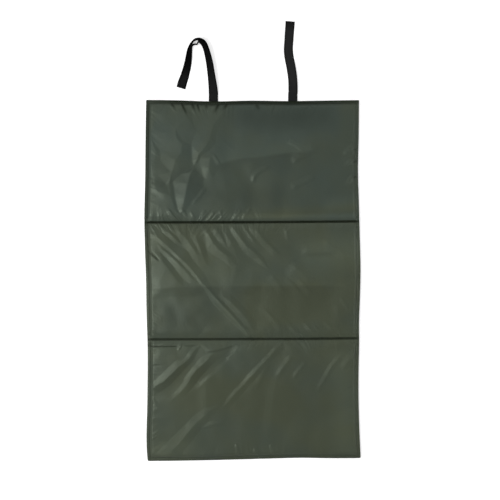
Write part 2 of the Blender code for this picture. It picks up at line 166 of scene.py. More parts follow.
# Edges of the buckled facets at each panel's left, as (x, y, height): the cloth is flat
# between them. Heights are in millimetres, times a scale for the bottom, middle and top panel.
FACET_SCALES = (1.1, 1.25, 1.7)
FACET_SNAP = 0.01 * MM
TOP_FACET_EDGES = (
    # the border of them all
    (
        (146, 101, 0), (176, 101, 0), (205, 101, 0), (240, 101, 0), (240, 130, 0), (234, 152, 0),
        (228, 172, 0), (222, 195, 0), (222, 222, 0), (200, 222, 0), (182, 222, 0), (168, 222, 0),
        (146, 222, 0), (146, 190, 0), (146, 160, 0), (146, 130, 0), (146, 101, 0),
    ),
    # the long crest down to the left tongue's tip
    (
        (180, 103, 0.5), (187.5, 117.5, 1.5), (175.9, 129.3, 1.6), (176.3, 134.5, 1.8), (176.5, 138, 2.0),
        (182.3, 145, 2.3), (181.7, 153, 2.5), (175.6, 160.5, 2.5), (171.9, 173, 1.6), (169.4, 184, 0.3),
    ),
    ((184.5, 103, 0), (191.5, 116.5, 0.6), (187.5, 117.5, 1.5)),
    # the hook beside it, and the dark diamond's right side
    ((176.3, 134.5, 1.8), (179.6, 136, 0.9), (182.6, 140.3, 0.8), (186, 143, 0.6), (191.5, 144.9, 0)),
    ((191.5, 144.9, 0), (192, 160, -0.7), (194.2, 166.5, -0.6)),
    # the drape from the top edge, down to the middle tongue's tip
    (
        (229, 106, 0.7), (219, 118, 1.6), (213, 126, 2.0), (212, 131, 2.2), (210.3, 138.5, 2.1),
        (205.5, 146.8, 1.6), (199.2, 154.3, 1.2), (197.2, 160.5, 0.7), (194.2, 166.5, -0.6),
    ),
    (
        (234, 108, 0.1), (223.5, 120, 0.7), (218, 128, 1.1), (216, 134, 1.1), (215.3, 144, 0.2),
        (209.5, 151, -0.1), (200.5, 157.5, -0.1), (197.6, 163.5, -0.5), (194.2, 166.5, -0.6),
    ),
    ((200, 112, 0.6), (200, 122, 0.8), (196, 132, 0.7)),
    # the small bright facet, and its shaded side
    (
        (197.6, 163.5, -0.5), (200.3, 166, -0.4), (204, 178, -0.5), (208.8, 168.5, 1.1),
        (210.3, 158.5, 1.1), (200.3, 166, -0.4),
    ),
    ((213, 152, 0.3), (219, 167, 0), (213, 179, -0.2), (207, 179.5, -0.4), (204, 178, -0.5)),
    # the second bright facet, and the dark one beside it
    (
        (169.4, 184, 0.3), (172.8, 182.5, -0.3), (182, 174, 0.3), (190.5, 168.3, -0.8),
        (194.2, 166.5, -0.6),
    ),
    ((172.8, 182.5, -0.3), (174.8, 197.5, 0.1), (177.4, 208, 0), (180.3, 215, 0.3)),
    ((191.7, 171.5, 2.3), (188, 184, 2.3), (184.8, 200, 2.0), (180.3, 215, 0.3)),
    (
        (194.2, 166.5, -0.6), (199, 173.5, -0.4), (204, 178, -0.5), (207, 179.5, -0.4),
        (203.5, 186.5, -0.3), (192, 202, 0), (185.5, 212, 0),
    ),
    ((170.9, 196, 1.2), (174.2, 206, 0.9), (177.6, 214, 0.4), (180.3, 215, 0.3)),
    # at the left edge
    ((151.8, 165.5, 1.0), (158.8, 175.5, 1.2), (165.9, 184.8, -0.2), (169.4, 184, 0.3)),
    (
        (158.8, 175.5, 1.2), (155, 180, 1.3), (154.8, 188.2, 1.6), (157.5, 191.3, 1.2),
        (165.9, 184.8, -0.2),
    ),
    ((156.3, 151, 1.0), (153.8, 163, 1.0)),
    ((160, 151, 0.5), (160.5, 161, 0.6), (157.5, 168.5, 1.0)),
)
MIDDLE_FACET_EDGES = (
    # the border
    (
        (147, 222.5, 0), (200, 222.5, 0), (276, 222.5, 0), (278, 250, 0), (280, 275, 0), (272, 300, 0),
        (264, 320, 0), (260, 340, 0), (200, 340, 0), (147, 340, 0), (147, 300, 0), (147, 270, 1.1),
        (147, 250, 0.5), (147, 222.5, 0),
    ),
    # the long ridge from the left edge: its crest, its hollow on the lit side, the one beyond
    (
        (151, 234, 0.9), (157, 236.5, 1.8), (170, 248, 2.4), (180, 257.5, 2.6), (190, 267, 2.8),
        (198, 277, 2.8), (203, 284, 2.6), (209, 290.5, 2.6), (216, 298.5, 3.0), (226, 309, 3.1),
        (236, 320, 2.9), (243, 328, 2.3), (249.5, 336, 1.0),
    ),
    (
        (151, 237.5, 0.4), (155, 240, 0.8), (168, 250.8, 1.4), (180, 261.3, 1.6), (190, 272, 1.6),
        (199, 282, 1.2), (204.5, 289, 0.5), (211.5, 300.5, -0.3), (218.5, 309, -0.5),
        (227.5, 317.5, -0.5), (237, 326.2, -0.3), (247.5, 336.8, 0),
    ),
    (
        (156, 226.5, 0), (163, 233, 0), (176, 244, -0.2), (188, 251.5, -0.3), (193, 260, -0.4),
        (200, 268, -0.3), (206, 276, -0.2), (210, 284, 0), (214, 292, 0.4), (218, 297, 0.5),
        (228, 307, 0.3), (238, 318, 0.1), (250, 331.5, 0),
    ),
    # the leaf beside its lower end
    (
        (218, 297, 0.5), (224, 297.5, 1.2), (231, 302, 1.9), (241, 312, 2.0), (249, 322, 1.8),
        (254, 333, 0.6),
    ),
    ((221, 289.5, 0.1), (230, 293.5, 0.1), (240, 302.5, 0), (250, 313, 0), (257, 325, 0)),
    # two more ridges under its upper end
    ((163, 250, 1.8), (165.5, 251.6, 2.2), (178, 263, 2.5), (188, 273.3, 2.4), (195, 281, 1.6)),
    ((160, 251.5, 1.0), (172, 264.5, 0.8), (183, 279, 0.7), (190, 284, 0.9)),
    (
        (155, 253, 1.2), (163, 261.5, 2.5), (168, 268, 2.8), (178, 281, 2.3), (184, 287, 1.2),
        (196, 300, 0.2),
    ),
    # the fan under the upper fold
    ((160, 225, 1.0), (165, 229.5, 1.5), (171, 234.5, 1.5), (177, 240.5, 0.8)),
    ((164, 224.5, 0.1), (170, 230.5, 0), (177, 236.5, -0.1), (182, 244, -0.2)),
    ((171, 224.5, 0.8), (174.5, 229.5, 0.9), (178, 235, 0.5)),
    ((179, 230.5, 1.0), (186, 238.5, 1.4), (192, 246.5, 1.3), (197.5, 255, 0.9)),
    ((187, 232, 0.2), (193, 240.5, 0.2), (198, 250, 0.5)),
    ((195.5, 235, 0.6), (199, 245, 1.4), (202.5, 254, 1.5), (206.5, 264.5, 0.3)),
    ((199.5, 230, -0.2), (204, 243, -0.4), (208, 257, -0.3), (210, 267, 0)),
    (
        (201.5, 224.5, 0.8), (208, 233.5, 1.3), (213, 242.5, 1.7), (220, 250.5, 1.7), (226, 255, 1.6),
        (237, 266, 0.4),
    ),
    (
        (200, 226.5, 0), (205, 236, -0.3), (206.5, 249.5, -0.5), (213, 254.5, -0.4), (222, 259.8, -0.3),
        (231, 267.5, 0),
    ),
    (
        (207.5, 225, 0), (213, 234.5, -0.2), (219, 242.5, -0.3), (226, 249.5, -0.3), (236, 257.5, -0.1),
        (243, 266, 0.1),
    ),
    ((211, 224, 1.0), (218, 232.5, 1.6), (223.3, 240, 1.1), (225.5, 243.5, 0.2)),
    ((216.5, 224.5, 0), (222.5, 231.5, -0.1), (225, 239, -0.1), (229, 250.5, -0.2)),
    ((226, 234, 0.7), (230.5, 241.5, 1.2), (235, 251, 0.2)),
    (
        (228.5, 227, 0), (233, 236, -0.2), (238.5, 244, -0.3), (242.5, 251, -0.3), (250, 258, -0.2),
        (262, 266, 0),
    ),
    (
        (230.5, 224.5, 0.8), (235.5, 231, 1.4), (241, 238.5, 1.8), (247, 246.5, 1.9), (253.5, 252, 1.7),
        (262, 261, 1.0), (270, 270, 0.2),
    ),
    ((238, 226, 0), (246, 239.5, -0.2), (254, 248, -0.2), (264, 258, 0)),
)
BOTTOM_FACET_EDGES = (
    # the border
    (
        (147, 339.5, 0), (200, 339.5, 0), (300, 339.5, 0), (292, 362, 0), (262, 402, 0), (240, 432, 0),
        (215, 461, 0), (180, 461, 0), (147, 461, 0), (147, 425, 0), (147, 400, 0), (147, 370, 0),
        (147, 339.5, 0),
    ),
    # three ridges falling to the left edge, each with its crest after its hollow
    (
        (199, 341.5, 0.2), (191, 348.5, 0), (185.5, 356, -0.2), (176, 360, -0.3), (168, 367.5, -0.3),
        (160, 375.5, -0.3), (151, 383.5, -0.2),
    ),
    (
        (202, 343, 0.8), (194, 351, 1.0), (189.5, 358, 1.3), (184, 363, 1.7), (178, 367.3, 1.8),
        (172, 373.5, 1.8), (165, 380, 1.8), (156, 386, 1.5), (149, 390, 1.0),
    ),
    (
        (196.5, 353.5, 0), (192, 361, -0.4), (187, 367, -0.4), (180, 374, -0.4), (170, 385, -0.4),
        (160, 392, -0.3), (150, 397, 0),
    ),
    (
        (206, 354, 0.2), (199.5, 358.5, -0.1), (194.5, 365, -0.2), (189, 371, -0.3), (184.5, 377.5, -0.4),
        (183, 382, -0.2), (178.5, 388, -0.2), (171, 395, -0.15), (163, 402, 0),
    ),
    (
        (213.5, 353, 1.0), (208.5, 359, 1.5), (203, 364.3, 1.7), (196.5, 369.5, 1.8), (192.3, 375.5, 1.8),
        (187.5, 384.5, 1.0), (181, 391.5, 0.7), (173, 399, 0.4), (166, 405, 0.1),
    ),
    (
        (217, 359, 0), (210, 366.5, -0.4), (203, 374, -0.5), (196, 383, -0.5), (189, 392, -0.3),
        (178, 401.5, -0.1), (168, 409, 0),
    ),
    # the small one beside them
    ((212.5, 371.5, 0), (204.5, 377, -0.2), (197.5, 384.3, -0.2)),
    ((216, 374, 0.6), (206.5, 380.5, 1.3), (198.5, 388, 0.4)),
    # the long diagonal
    (
        (278.5, 341, 0), (269, 352, -0.2), (260, 361, -0.2), (252, 369.3, -0.3), (247, 374.5, -0.3),
        (240, 383, -0.3), (233, 390, -0.3), (227, 397, -0.2), (222, 404, -0.1), (218.5, 411, 0),
    ),
    (
        (283, 341, 1.0), (274, 351.5, 1.5), (265, 361, 1.6), (256, 371, 1.5), (250, 377.5, 1.3),
        (243, 385.5, 0.85), (236, 392, 0.7), (230, 399, 0.5), (225, 406, 0.3), (220, 413, 0.1),
    ),
    ((285, 347, 0), (270, 362, -0.2), (254, 380, -0.3), (240, 395.5, -0.3), (228, 410, -0.1)),
    # the broad one across the lower left corner
    (
        (206, 407, 0.1), (193, 416, -0.2), (186, 423.5, -0.3), (178, 431, -0.3), (169, 440, -0.3),
        (160, 449, -0.3), (151.5, 458, 0),
    ),
    (
        (211, 409.5, 0.5), (203.5, 416, 1.0), (196, 423, 1.3), (188.5, 431.5, 1.5), (182, 440, 1.6),
        (174.5, 448, 1.6), (167, 458, 1.0),
    ),
    ((216, 413, 0), (208, 422, -0.3), (200, 430, -0.2), (190, 443, 0), (180, 455, 0)),
    # under the fold
    ((239, 342.5, 0.2), (230, 348.5, -0.1), (226.5, 355, -0.1), (222.5, 362.5, 0)),
    ((242, 344, 0.5), (234.5, 351.5, 0.75), (229.5, 357.5, 0.6), (225.5, 363.5, 0.2)),
)

# Single creases of each panel, over its facets and beside them
TOP_CREASES = (
    # slivers beside the facets
    Crease(((213, 153.5), (216.5, 159), (220.5, 166)), 1.8, 10, 5),
    Crease(((206, 188), (199, 197), (191, 205)), 0.9, 8, 7),
    # the soft swell across the right half, and the short folds in it
    Crease(
        ((215, 166), (238, 159), (257, 157), (273, 155), (290, 153), (307, 152), (322, 148)),
        2.2, 60, 16, 0.15, (0.1, 0.1),
    ),
    Crease(((222, 219.5), (290, 218.8), (357, 218)), 1.0, 20, 9, 0.3, (0.1, 0.02)),
    Crease(((291, 164), (300, 158), (309, 154), (318, 150)), 1.8, 24, 8),
    Crease(((287, 141), (296, 145), (304, 151)), 1.4, 9, 8, 0.3),
    Crease(((252.5, 184), (256, 174), (271, 166)), 1.7, 10, 9, 0.3),
    Crease(((290, 189), (303, 183), (317, 177)), 1.6, 16, 9, 0.3),
    # drawn-in cloth at the right edge
    Crease(((358, 145), (350, 149), (343, 156)), 1.9, 9, 7),
    Crease(((358, 157), (351, 161), (344, 168)), 2.2, 9, 6),
    Crease(((358, 173), (352, 178), (346, 187)), 2.0, 10, 7),
    # gathers under the top edge
    Crease(((168, 101), (173, 107), (177, 114)), 1.0, 6, 6),
    Crease(((178, 101), (184, 107), (192, 118)), 1.6, 8, 8),
    Crease(((187, 101), (190, 106), (196, 115)), 1.2, 5, 7),
    Crease(((200, 101), (201, 106), (202, 114)), 1.0, 5, 5),
    Crease(((211, 101), (210, 107), (207, 113)), 0.9, 5, 5),
    Crease(((222, 101), (219, 107), (214, 116)), 1.1, 6, 6),
    Crease(((230, 101), (227, 106), (220, 117)), 1.5, 6, 7),
    Crease(((251, 101), (253, 106), (254, 113)), 0.9, 6, 7),
    Crease(((262, 101), (261, 106), (263, 110)), 0.7, 5, 6),
    Crease(((274, 101), (273, 106), (270, 111)), 0.7, 5, 6),
    Crease(((306, 101), (309, 105), (313, 109)), 1.0, 6, 5),
    # gathers above the fold
    Crease(((168, 209), (172, 214), (178, 222)), 1.3, 7, 5),
    Crease(((182, 209), (185, 214), (188.5, 222)), 1.5, 8, 6),
    Crease(((191, 211), (193, 216), (195, 222)), 1.0, 5, 5),
    Crease(((206, 210), (203, 215), (199, 222)), 1.3, 6, 5),
    Crease(((214, 211), (212, 216), (209, 222)), 1.0, 5, 5),
    Crease(((220, 210), (221, 216), (222, 222)), 1.0, 5, 6),
    Crease(((241, 210), (237, 215), (231, 222)), 1.2, 5, 5),
    Crease(((251, 208), (247, 213), (241, 222)), 1.5, 5, 5, 0),
)
MIDDLE_CREASES = (
    # the tuck at the left edge, the swell across the middle and two folds under the upper fold
    Crease(((147, 247), (154, 254), (161, 262)), -1.1, 4, 4),
    Crease(((150, 288), (190, 287), (225, 286), (262, 286)), 1.9, 44, 26, 0.1, (0.1, 0.1)),
    Crease(((240, 221), (248, 233), (256, 244.5)), 1.1, 6, 6),
    Crease(((250, 221), (263, 239), (272, 248), (282, 259)), 1.8, 15, 10),
    # softer ones across the right half
    Crease(((290, 262), (301, 272), (314, 285)), 3.4, 36, 16, 0.15, (0.3, 0.3)),
    Crease(((283, 275), (294, 286), (303, 295)), 1.1, 18, 6, 0.3, (0.5, 0.3)),
    Crease(((295, 276), (306, 287), (314, 297)), 1.0, 14, 6, 0.3, (0.5, 0.3)),
    Crease(((270, 274), (278, 283), (285, 295)), 1.2, 18, 7, 0.3),
    Crease(((281, 222), (286, 230), (288, 243)), 0.7, 8, 8, 0.5),
    Crease(((322, 240), (337, 249.5), (352, 259)), 2.0, 20, 7),
    Crease(((300, 252), (320, 249), (340, 251)), 1.6, 22, 14, 0.5),
    Crease(((340, 297), (345, 304), (351, 313)), 1.3, 9, 8),
    Crease(((339, 302), (338, 318), (337, 335)), 1.4, 22, 28, 0.5),
    Crease(((259, 305), (273, 318), (285, 334)), 1.3, 14, 8, 0.3, (0.5, 0.3)),
    # gathers above the lower fold
    Crease(((284, 318), (293, 329), (305, 340)), 2.2, 10, 8, 0.2, (0.5, 0.1)),
    Crease(((301, 320), (310, 329), (320, 340)), 2.0, 9, 7, 0.2, (0.5, 0.1)),
    Crease(((312, 322), (318, 330), (325, 340)), 1.2, 6, 5, 0.2, (0.5, 0.1)),
    Crease(((322, 319), (332, 328.5), (343, 340)), 2.1, 10, 8, 0.2, (0.5, 0.1)),
    Crease(((244, 326), (248, 333), (250, 340)), 0.9, 4, 4),
)
BOTTOM_CREASES = (
    # the flat tuck beside the lower fold's left end, and its kink
    Crease(((144, 346.2), (165, 346.2), (181, 346)), -1.3, 4, 4, 0),
    Crease(((181.5, 342), (180.5, 346), (178, 351)), 1.3, 5, 4),
    Crease(((243, 342), (230, 346), (214, 349), (203, 351)), 0.6, 8, 8, 0.3),
    Crease(((200, 342.5), (190, 344.5), (178, 346)), 0.9, 6, 6, 0.3),
    # short ones across the right half, and a soft one at the lower left
    Crease(((269, 361), (262, 375), (255, 390)), 1.1, 13, 11, 0.4),
    Crease(((293, 354), (284, 366), (275, 380)), 1.1, 12, 10, 0.5),
    Crease(((343, 353), (332, 366), (325, 378), (315.5, 394)), 1.9, 11, 8),
    Crease(((307, 361), (299, 370), (292, 380)), 1.3, 10, 8),
    Crease(((359, 350), (350, 358), (341, 371)), 2.1, 14, 10),
    Crease(((335, 340), (337, 347), (337, 354)), 0.7, 6, 7, 0.5),
    Crease(((226, 423), (212, 424), (199, 429)), 0.6, 12, 10, 0.7),
    # gathers at the edges
    Crease(((359, 361), (352, 362.5)), 1.0, 5, 4),
    Crease(((359, 420), (352, 424)), 0.9, 5, 4),
    Crease(((235.5, 443), (238, 450), (240, 459)), 2.6, 5, 4, 0),
    Crease(((254.5, 447), (255.5, 453), (256.5, 459)), 2.2, 4, 4, 0),
    Crease(((270, 443), (272, 450), (273.5, 459)), 2.8, 5, 4, 0),
    Crease(((147, 395), (153, 399), (158, 406)), 1.0, 6, 6),
    Crease(((147, 417), (154, 421)), 0.8, 6, 6),
)

# Crest of the top panel's swell, for the painted light and shade on its two sides
TOP_SWELL_PATH = (
    (213, 166), (238, 159), (257, 157.5), (273, 155), (290, 153), (307, 152), (318, 149),
)

# Painted light and shade, where the nylon is drawn lighter or darker for how light falls on it;
# and where it is warmer or cooler, and the warmth of the whole bottom, middle and top panel
LIGHT_AND_SHADE_MARKS = (
    # painted highlights on the crests of the long ridge and of the broad one at the lower left
    Crease(
        ((202, 283), (209, 290.5), (216, 298.5), (226, 309), (236, 320), (243, 328), (249.5, 336)),
        0.34, 15, 1.5, 0.3, (0.15, 0.06),
    ),
    Crease(((206, 411), (192, 426), (176, 442), (160, 457)), 0.1, 15, 15, 0.6, (0.2, 0.05)),
    # painted shade under the top edge
    Crease(((215, 113), (262, 117), (320, 116), (352, 112)), -0.24, 66, 62, 1, (0.25, 0.3)),
    # painted light above the crest of the top panel's swell, painted shade below it
    Crease(TOP_SWELL_PATH, 0.15, 74, 4, 0.6, (0.1, 0.2)),
    Crease(TOP_SWELL_PATH, -0.12, 3, 70, 0.5, (0.1, 0.2)),
    # painted shade across the lower part of the top panel
    Crease(((150, 178), (185, 182), (225, 195), (300, 197)), -0.15, 60, 60, 1, (0.1, 0.2)),
    # painted light: the middle panel's right half, its left half, and two corners
    Crease(((287, 260), (325, 252), (362, 251)), 0.3, 80, 80, 1, (0.4, 0.01)),
    Crease(((148, 279), (157, 280), (172, 282)), 0.04, 34, 20, 1, (0.05, 0.6)),
    Crease(((183, 271), (212, 271), (245, 270)), 0.08, 42, 42, 1, (0.2, 0.5)),
    Crease(((149, 296), (163, 296), (186, 298)), 0.12, 32, 32, 1, (0.02, 0.4)),
    Crease(((316, 206), (338, 204), (358, 203)), 0.14, 34, 34, 1, (0.3, 0.02)),
    Crease(((150, 452), (172, 450), (210, 449)), 0.14, 40, 40, 1, (0.02, 0.4)),
    # painted light on the strip above the upper fold, painted shade in the hollow on the right, painted
    # light at the tuck
    Crease(((222, 217), (290, 216.6), (358, 216)), 0.22, 12, 9, 0.5, (0.1, 0.02)),
    Crease(((301, 255), (319, 254.5), (338, 254)), -0.16, 12, 12, 1, (0.3, 0.3)),
    Crease(((150, 352), (156, 351), (166, 350)), 0.16, 14, 14, 1, (0.05, 0.4)),
    # painted light above the crest of the middle panel's swell, painted shade below it
    Crease(
        ((160, 287.2), (205, 286.5), (262, 286), (300, 285.8), (348, 285.5)),
        0.1, 110, 4, 0.4, (0.1, 0.05),
    ),
    Crease(
        ((165, 287.2), (205, 286.5), (262, 286), (300, 285.8), (338, 285.5)),
        -0.13, 3, 100, 0.3, (0.1, 0.1),
    ),
    # painted shade on the ground at the left of the two lower panels, and painted light on the right side
    # of the last
    Crease(((155, 318), (190, 320), (225, 322)), -0.14, 50, 44, 1, (0.1, 0.3)),
    Crease(((150, 378), (180, 372), (222, 368)), -0.16, 60, 60, 1, (0.02, 0.3)),
    Crease(((215, 398), (262, 402), (315, 400)), -0.06, 80, 80, 1, (0.3, 0.3)),
    Crease(((338, 345), (345, 400), (345, 455)), 0.2, 62, 62, 1, (0.1, 0.05)),
)
WARMTHS = (
    # warm above the upper fold, and cool across the upper part of the top panel
    Crease(((220, 217), (290, 214), (358, 208)), 0.5, 30, 20, 1, (0.2, 0.02)),
    Crease(((225, 115), (262, 118), (345, 118)), -0.5, 90, 80, 1, (0.2, 0.1)),
    Crease(((150, 128), (175, 135), (200, 150)), -0.4, 90, 80, 1, (0.1, 0.1)),
    # warm in the middle of the two lower panels
    Crease(((240, 303), (285, 306), (335, 298)), 0.8, 80, 70, 1, (0.2, 0.2)),
    Crease(((165, 378), (215, 392), (270, 398), (315, 392)), 0.6, 100, 90, 1, (0.2, 0.2)),
)
PANEL_WARMTHS = (0.45, 0.42, 0.05)

# How far from a seam the creases reach their full height
CREASE_STANDOFF = 7 * MM

# Gathers of the cloth along a sewn line, as (pixel, share of the full height), and their
# waves: sharp crests, with finer ones between them, which lean now one way and now the other
TOP_GATHERS = (
    (146, 0.4), (165, 0.9), (232, 0.9), (245, 0.3), (275, 0.6), (312, 0.5), (325, 0.2), (359, 0.3),
)
ABOVE_TOP_FOLD_GATHERS = ((146, 0.5), (165, 1.3), (250, 1.1), (262, 0.2), (359, 0.2))
BELOW_TOP_FOLD_GATHERS = ((146, 1.7), (200, 1.7), (250, 1.1), (285, 0.7), (300, 0.3), (359, 0.3))
ABOVE_BOTTOM_FOLD_GATHERS = ((147, 0.2), (235, 0.3), (250, 0.6), (290, 0.6), (340, 0.7), (359, 0.3))
BELOW_BOTTOM_FOLD_GATHERS = ((147, 0.3), (250, 0.4), (300, 0.5), (359, 0.5))
BOTTOM_GATHERS = ((147, 0.3), (225, 0.3), (240, 0.7), (275, 0.6), (290, 0.3), (359, 0.3))
LEFT_GATHERS = (
    (100, 0.3), (215, 0.3), (225, 0.2), (285, 0.3), (300, 0.5), (345, 0.5), (390, 0.3), (460, 0.2),
)
RIGHT_GATHERS = (
    (100, 0.2), (140, 0.5), (180, 0.5), (200, 0.2), (290, 0.4), (350, 0.6), (380, 0.3), (460, 0.3),
)
GATHER_HEIGHT = 1.8 * MM
GATHER_SPACING = 12 * MM
GATHER_REACH = 8 * MM
GATHER_SHARPNESS = 2.2
FINE_GATHER_SHARE = 0.5
FINE_GATHER_PACE = 5.3
GATHER_LEAN = 0.9
GATHER_LEAN_SPACING = 70 * MM
LOW_GATHER_SEED = 10
HIGH_GATHER_SEED = 20
LEFT_GATHER_SEED = 31
RIGHT_GATHER_SEED = 32

# Slow swells of the cloth between its creases, each as (share of the height, pace, seed), and
# the slack of the covers underneath
SWELL_HEIGHT = 0.9 * MM
SWELL_SPACING = 62 * MM
SWELLS = ((1, 1, 5), (0.5, 2.3, 6))
SLACK_PACE = 2
SLACK_SEED = 8

# Values that smooth noise goes through before it repeats: along a line, and each way on a plane
LINE_VALUES = 1024
PLANE_VALUES = 64

# Simulation of the cloth: its grid, its frames, its slack as a share, how far it may move, its
# quality, pressure and stiffness, how much of it is sewn down, how firmly it clings to the
# foam, how often its result is smoothed, and the share of it that is kept
SETTLING_STEP = 7 * MM
SETTLING_FRAMES = 20
CLOTH_SLACK = 0.02
CLOTH_CAP = 1 * MM
CLOTH_QUALITY = 6
CLOTH_PRESSURE = 4.0
CLOTH_BENDING = 20.0
SEWN_REACH = 1.5 * MM
FOAM_HOLD = 0.15
SETTLED_SMOOTHING = 2
SETTLED_SHARE = 0.22

# Painted shade where the cloth tucks under itself and in the pits between the gathers, laid out like
# creases
PAINTED_HOLLOW_SHADE = (
    # the flat tuck and its neighbours on the bottom panel
    Crease(((146, 346), (165, 346.3), (180, 346)), 0.8, 2.2, 2.2, 0, (0.02, 0.15)),
    Crease(((182, 345.5), (191, 345.8), (200, 344.5)), 0.3, 3, 3, 0, (0.2, 0.3)),
    Crease(((204, 352), (218, 350.5), (238, 344)), 0.25, 4, 4, 0.3, (0.2, 0.2)),
    # tucks at the left edge
    Crease(((147, 250), (153, 256), (160, 262)), 0.8, 3, 3, 0, (0.02, 0.3)),
    Crease(((147, 243), (148.5, 248)), 0.7, 4, 4, 0, (0.1, 0.2)),
    Crease(((147, 176), (152, 180), (153, 188)), 0.35, 4, 4, 0.5, (0.1, 0.3)),
    # tucks at the right edge
    Crease(((358, 148.5), (351.5, 150.5)), 0.5, 3, 3, 0.5, (0.1, 0.5)),
    Crease(((358, 160), (352, 163.5)), 0.6, 3, 3, 0.5, (0.1, 0.5)),
    Crease(((358, 176), (351, 178.8)), 0.6, 3, 3, 0.5, (0.1, 0.5)),
    # pits between the gathers under the top edge
    Crease(((170, 100), (172, 104), (176, 111)), 0.9, 6, 6, 0.5, (0.01, 0.6)),
    Crease(((180, 100), (183.5, 108), (189, 119)), 0.9, 5, 7, 0.5, (0.01, 0.5)),
    Crease(((191, 100), (193, 106), (196, 113)), 0.9, 7, 7, 0.5, (0.01, 0.6)),
    Crease(((197, 100), (198, 107), (201, 114)), 0.9, 5, 5, 0.5, (0.01, 0.5)),
    Crease(((206, 100), (206.5, 107), (207, 113)), 0.7, 7, 7, 0.5, (0.01, 0.6)),
    Crease(((219, 100), (217.5, 107), (213, 116)), 0.85, 8, 8, 0.5, (0.01, 0.6)),
    Crease(((229, 100), (226, 106), (221, 112)), 0.9, 8, 8, 0.5, (0.01, 0.6)),
    Crease(((256, 100), (257, 106), (261, 112)), 0.7, 8, 9, 0.5, (0.01, 0.6)),
    Crease(((267, 100), (267, 104), (266, 108)), 0.6, 8, 8, 0.5, (0.01, 0.6)),
    Crease(((294, 100), (300, 103), (309, 104)), 0.8, 9, 9, 0.5, (0.01, 0.5)),
)

# Painted shade in the folds' grooves and on the rolled edges, as shares of the painted shade colour; the
# top and left edges are painted darkest
TOP_FOLD_SHADE = 1.0
BOTTOM_FOLD_SHADE = 0.78
FOLD_SHADE_REACH = 4.8 * MM
FOLD_SHADE_FADE = 3.2 * MM
TOP_EDGE_SHADES = ((146, 0.5), (168, 0.7), (175, 0.9), (300, 0.9), (318, 0.75), (359, 0.6))
LEFT_EDGE_SHADES = ((100, 0.6), (220, 0.55), (235, 0.42), (290, 0.05), (460, 0.05))
BOTTOM_EDGE_SHADE = 0.1
RIGHT_EDGE_SHADE = 0.05
EDGE_SHADE_REACH = 17 * MM
EDGE_SHADE_FADE = 13 * MM

# Binding, as points of its section: distance in from the mat's edge and height off the
# seam, round its upper half from the hem to the edge, then back inside it
BINDING_WIDTH = 8 * MM
HEM_SECTION = (
    (8.2 * MM, 0.9 * MM), (8.4 * MM, 1.25 * MM), (8.1 * MM, 1.55 * MM), (7.1 * MM, 1.7 * MM),
    (5.8 * MM, 1.45 * MM), (4.2 * MM, 1.6 * MM), (2.2 * MM, 1.6 * MM), (0.8 * MM, 1.3 * MM),
    (0.1 * MM, 0.75 * MM),
)
HEM_INSIDE = ((0.6 * MM, 0.35 * MM), (1.2 * MM, 0.85 * MM), (4.5 * MM, 0.95 * MM), (7.5 * MM, 0.95 * MM))
HEM_STEP = 4 * MM
TOP_CORNER_RADIUS = 2.5 * MM
BOTTOM_CORNER_RADIUS = 5 * MM
INNER_CORNER_RADIUS = 1 * MM
CORNER_STEPS = 4
END_PANELS = (("top", 1), ("bottom", -1))
END_BINDING_SEEDS = {"top": 41, "bottom": 40}
MIDDLE_BINDING_SEEDS = (51, 49)
FOLD_BINDING_SEED = 60
MIDDLE_SPAN = (BOTTOM_FOLD + FOLD_REACH, TOP_FOLD - FOLD_REACH)

# Cockles of the binding's inner edge: they start and become full at shares of its width
HEM_COCKLE = 0.25 * MM
HEM_COCKLE_SPACING = 16 * MM
HEM_COCKLE_START = 0.2
HEM_COCKLE_FADE = 0.4

# Stitches, which lie in the groove of the binding's section, and the rings of one stitch as
# (share of its length, share of its radius)
STITCH_INSET, STITCH_BED = HEM_SECTION[4]
STITCH_LENGTH = 3.4 * MM
STITCH_RADIUS = 0.32 * MM
STITCH_SIDES = 6
STITCH_RINGS = ((-0.5, 0.35), (-0.36, 0.95), (0.0, 1.1), (0.36, 0.95), (0.5, 0.35))

# Straps: the routes that they lie in, from the hinge at the mat's edge, as shares of their
# length across, along, and of a quarter turn of roll
WEBBING_WIDTH = 26 * MM
WEBBING_THICKNESS = 1.5 * MM
STRAP_DROOP_LENGTH = 50 * MM
STRAP_SEWN_LENGTH = 7 * MM
LEFT_STRAP_LENGTH = 320 * MM
RIGHT_STRAP_LENGTH = 211 * MM
LEFT_STRAP_SHARES = (
    (0.000, 0.000, 0.00),
    (0.000, 0.030, 0.00),
    (-0.005, 0.088, 0.22),
    (-0.018, 0.188, 0.39),
    (-0.033, 0.288, 0.46),
    (-0.056, 0.386, 0.56),
    (-0.076, 0.440, 0.60),
    (-0.097, 0.467, 0.66),
    (-0.124, 0.486, 0.90),
    (-0.160, 0.481, 0.99),
    (-0.190, 0.446, 0.95),
    (-0.203, 0.390, 0.68),
    (-0.217, 0.288, 0.50),
    (-0.242, 0.188, 0.36),
    (-0.265, 0.122, 0.18),
    (-0.280, 0.071, 0.08),
)
RIGHT_STRAP_SHARES = (
    (0.000, 0.000, 0.00),
    (0.000, 0.030, 0.00),
    (0.004, 0.078, 0.04),
    (-0.001, 0.232, 0.12),
    (-0.022, 0.385, 0.08),
    (-0.056, 0.585, -0.08),
    (-0.049, 0.769, -0.12),
    (-0.033, 0.994, -0.03),
)
# Painted light and shade along each strap, as (share, brightness): the left one drawn darkest where it
# rolls onto its edge and turns from the light, the right one lighter
LEFT_STRAP_LIGHT_AND_SHADE = (
    (0.0, 1.15), (0.12, 0.9), (0.25, 0.55), (0.4, 0.35), (0.55, 0.2), (0.68, 0.15), (0.78, 0.3),
    (0.85, 0.55), (0.9, 1.0), (1.0, 0.9),
)
RIGHT_STRAP_LIGHT_AND_SHADE = ((0.0, 1.4), (0.5, 1.6), (0.85, 1.65), (0.95, 1.2), (1.0, 0.8))
# painted shade at the webbing's selvedges, as a share of its brightness
SELVEDGE_PAINTED_SHADE = 0.55
ROUTE_STEPS = 400
WEBBING_STEP = 3 * MM
STRAP_COLUMNS = 9

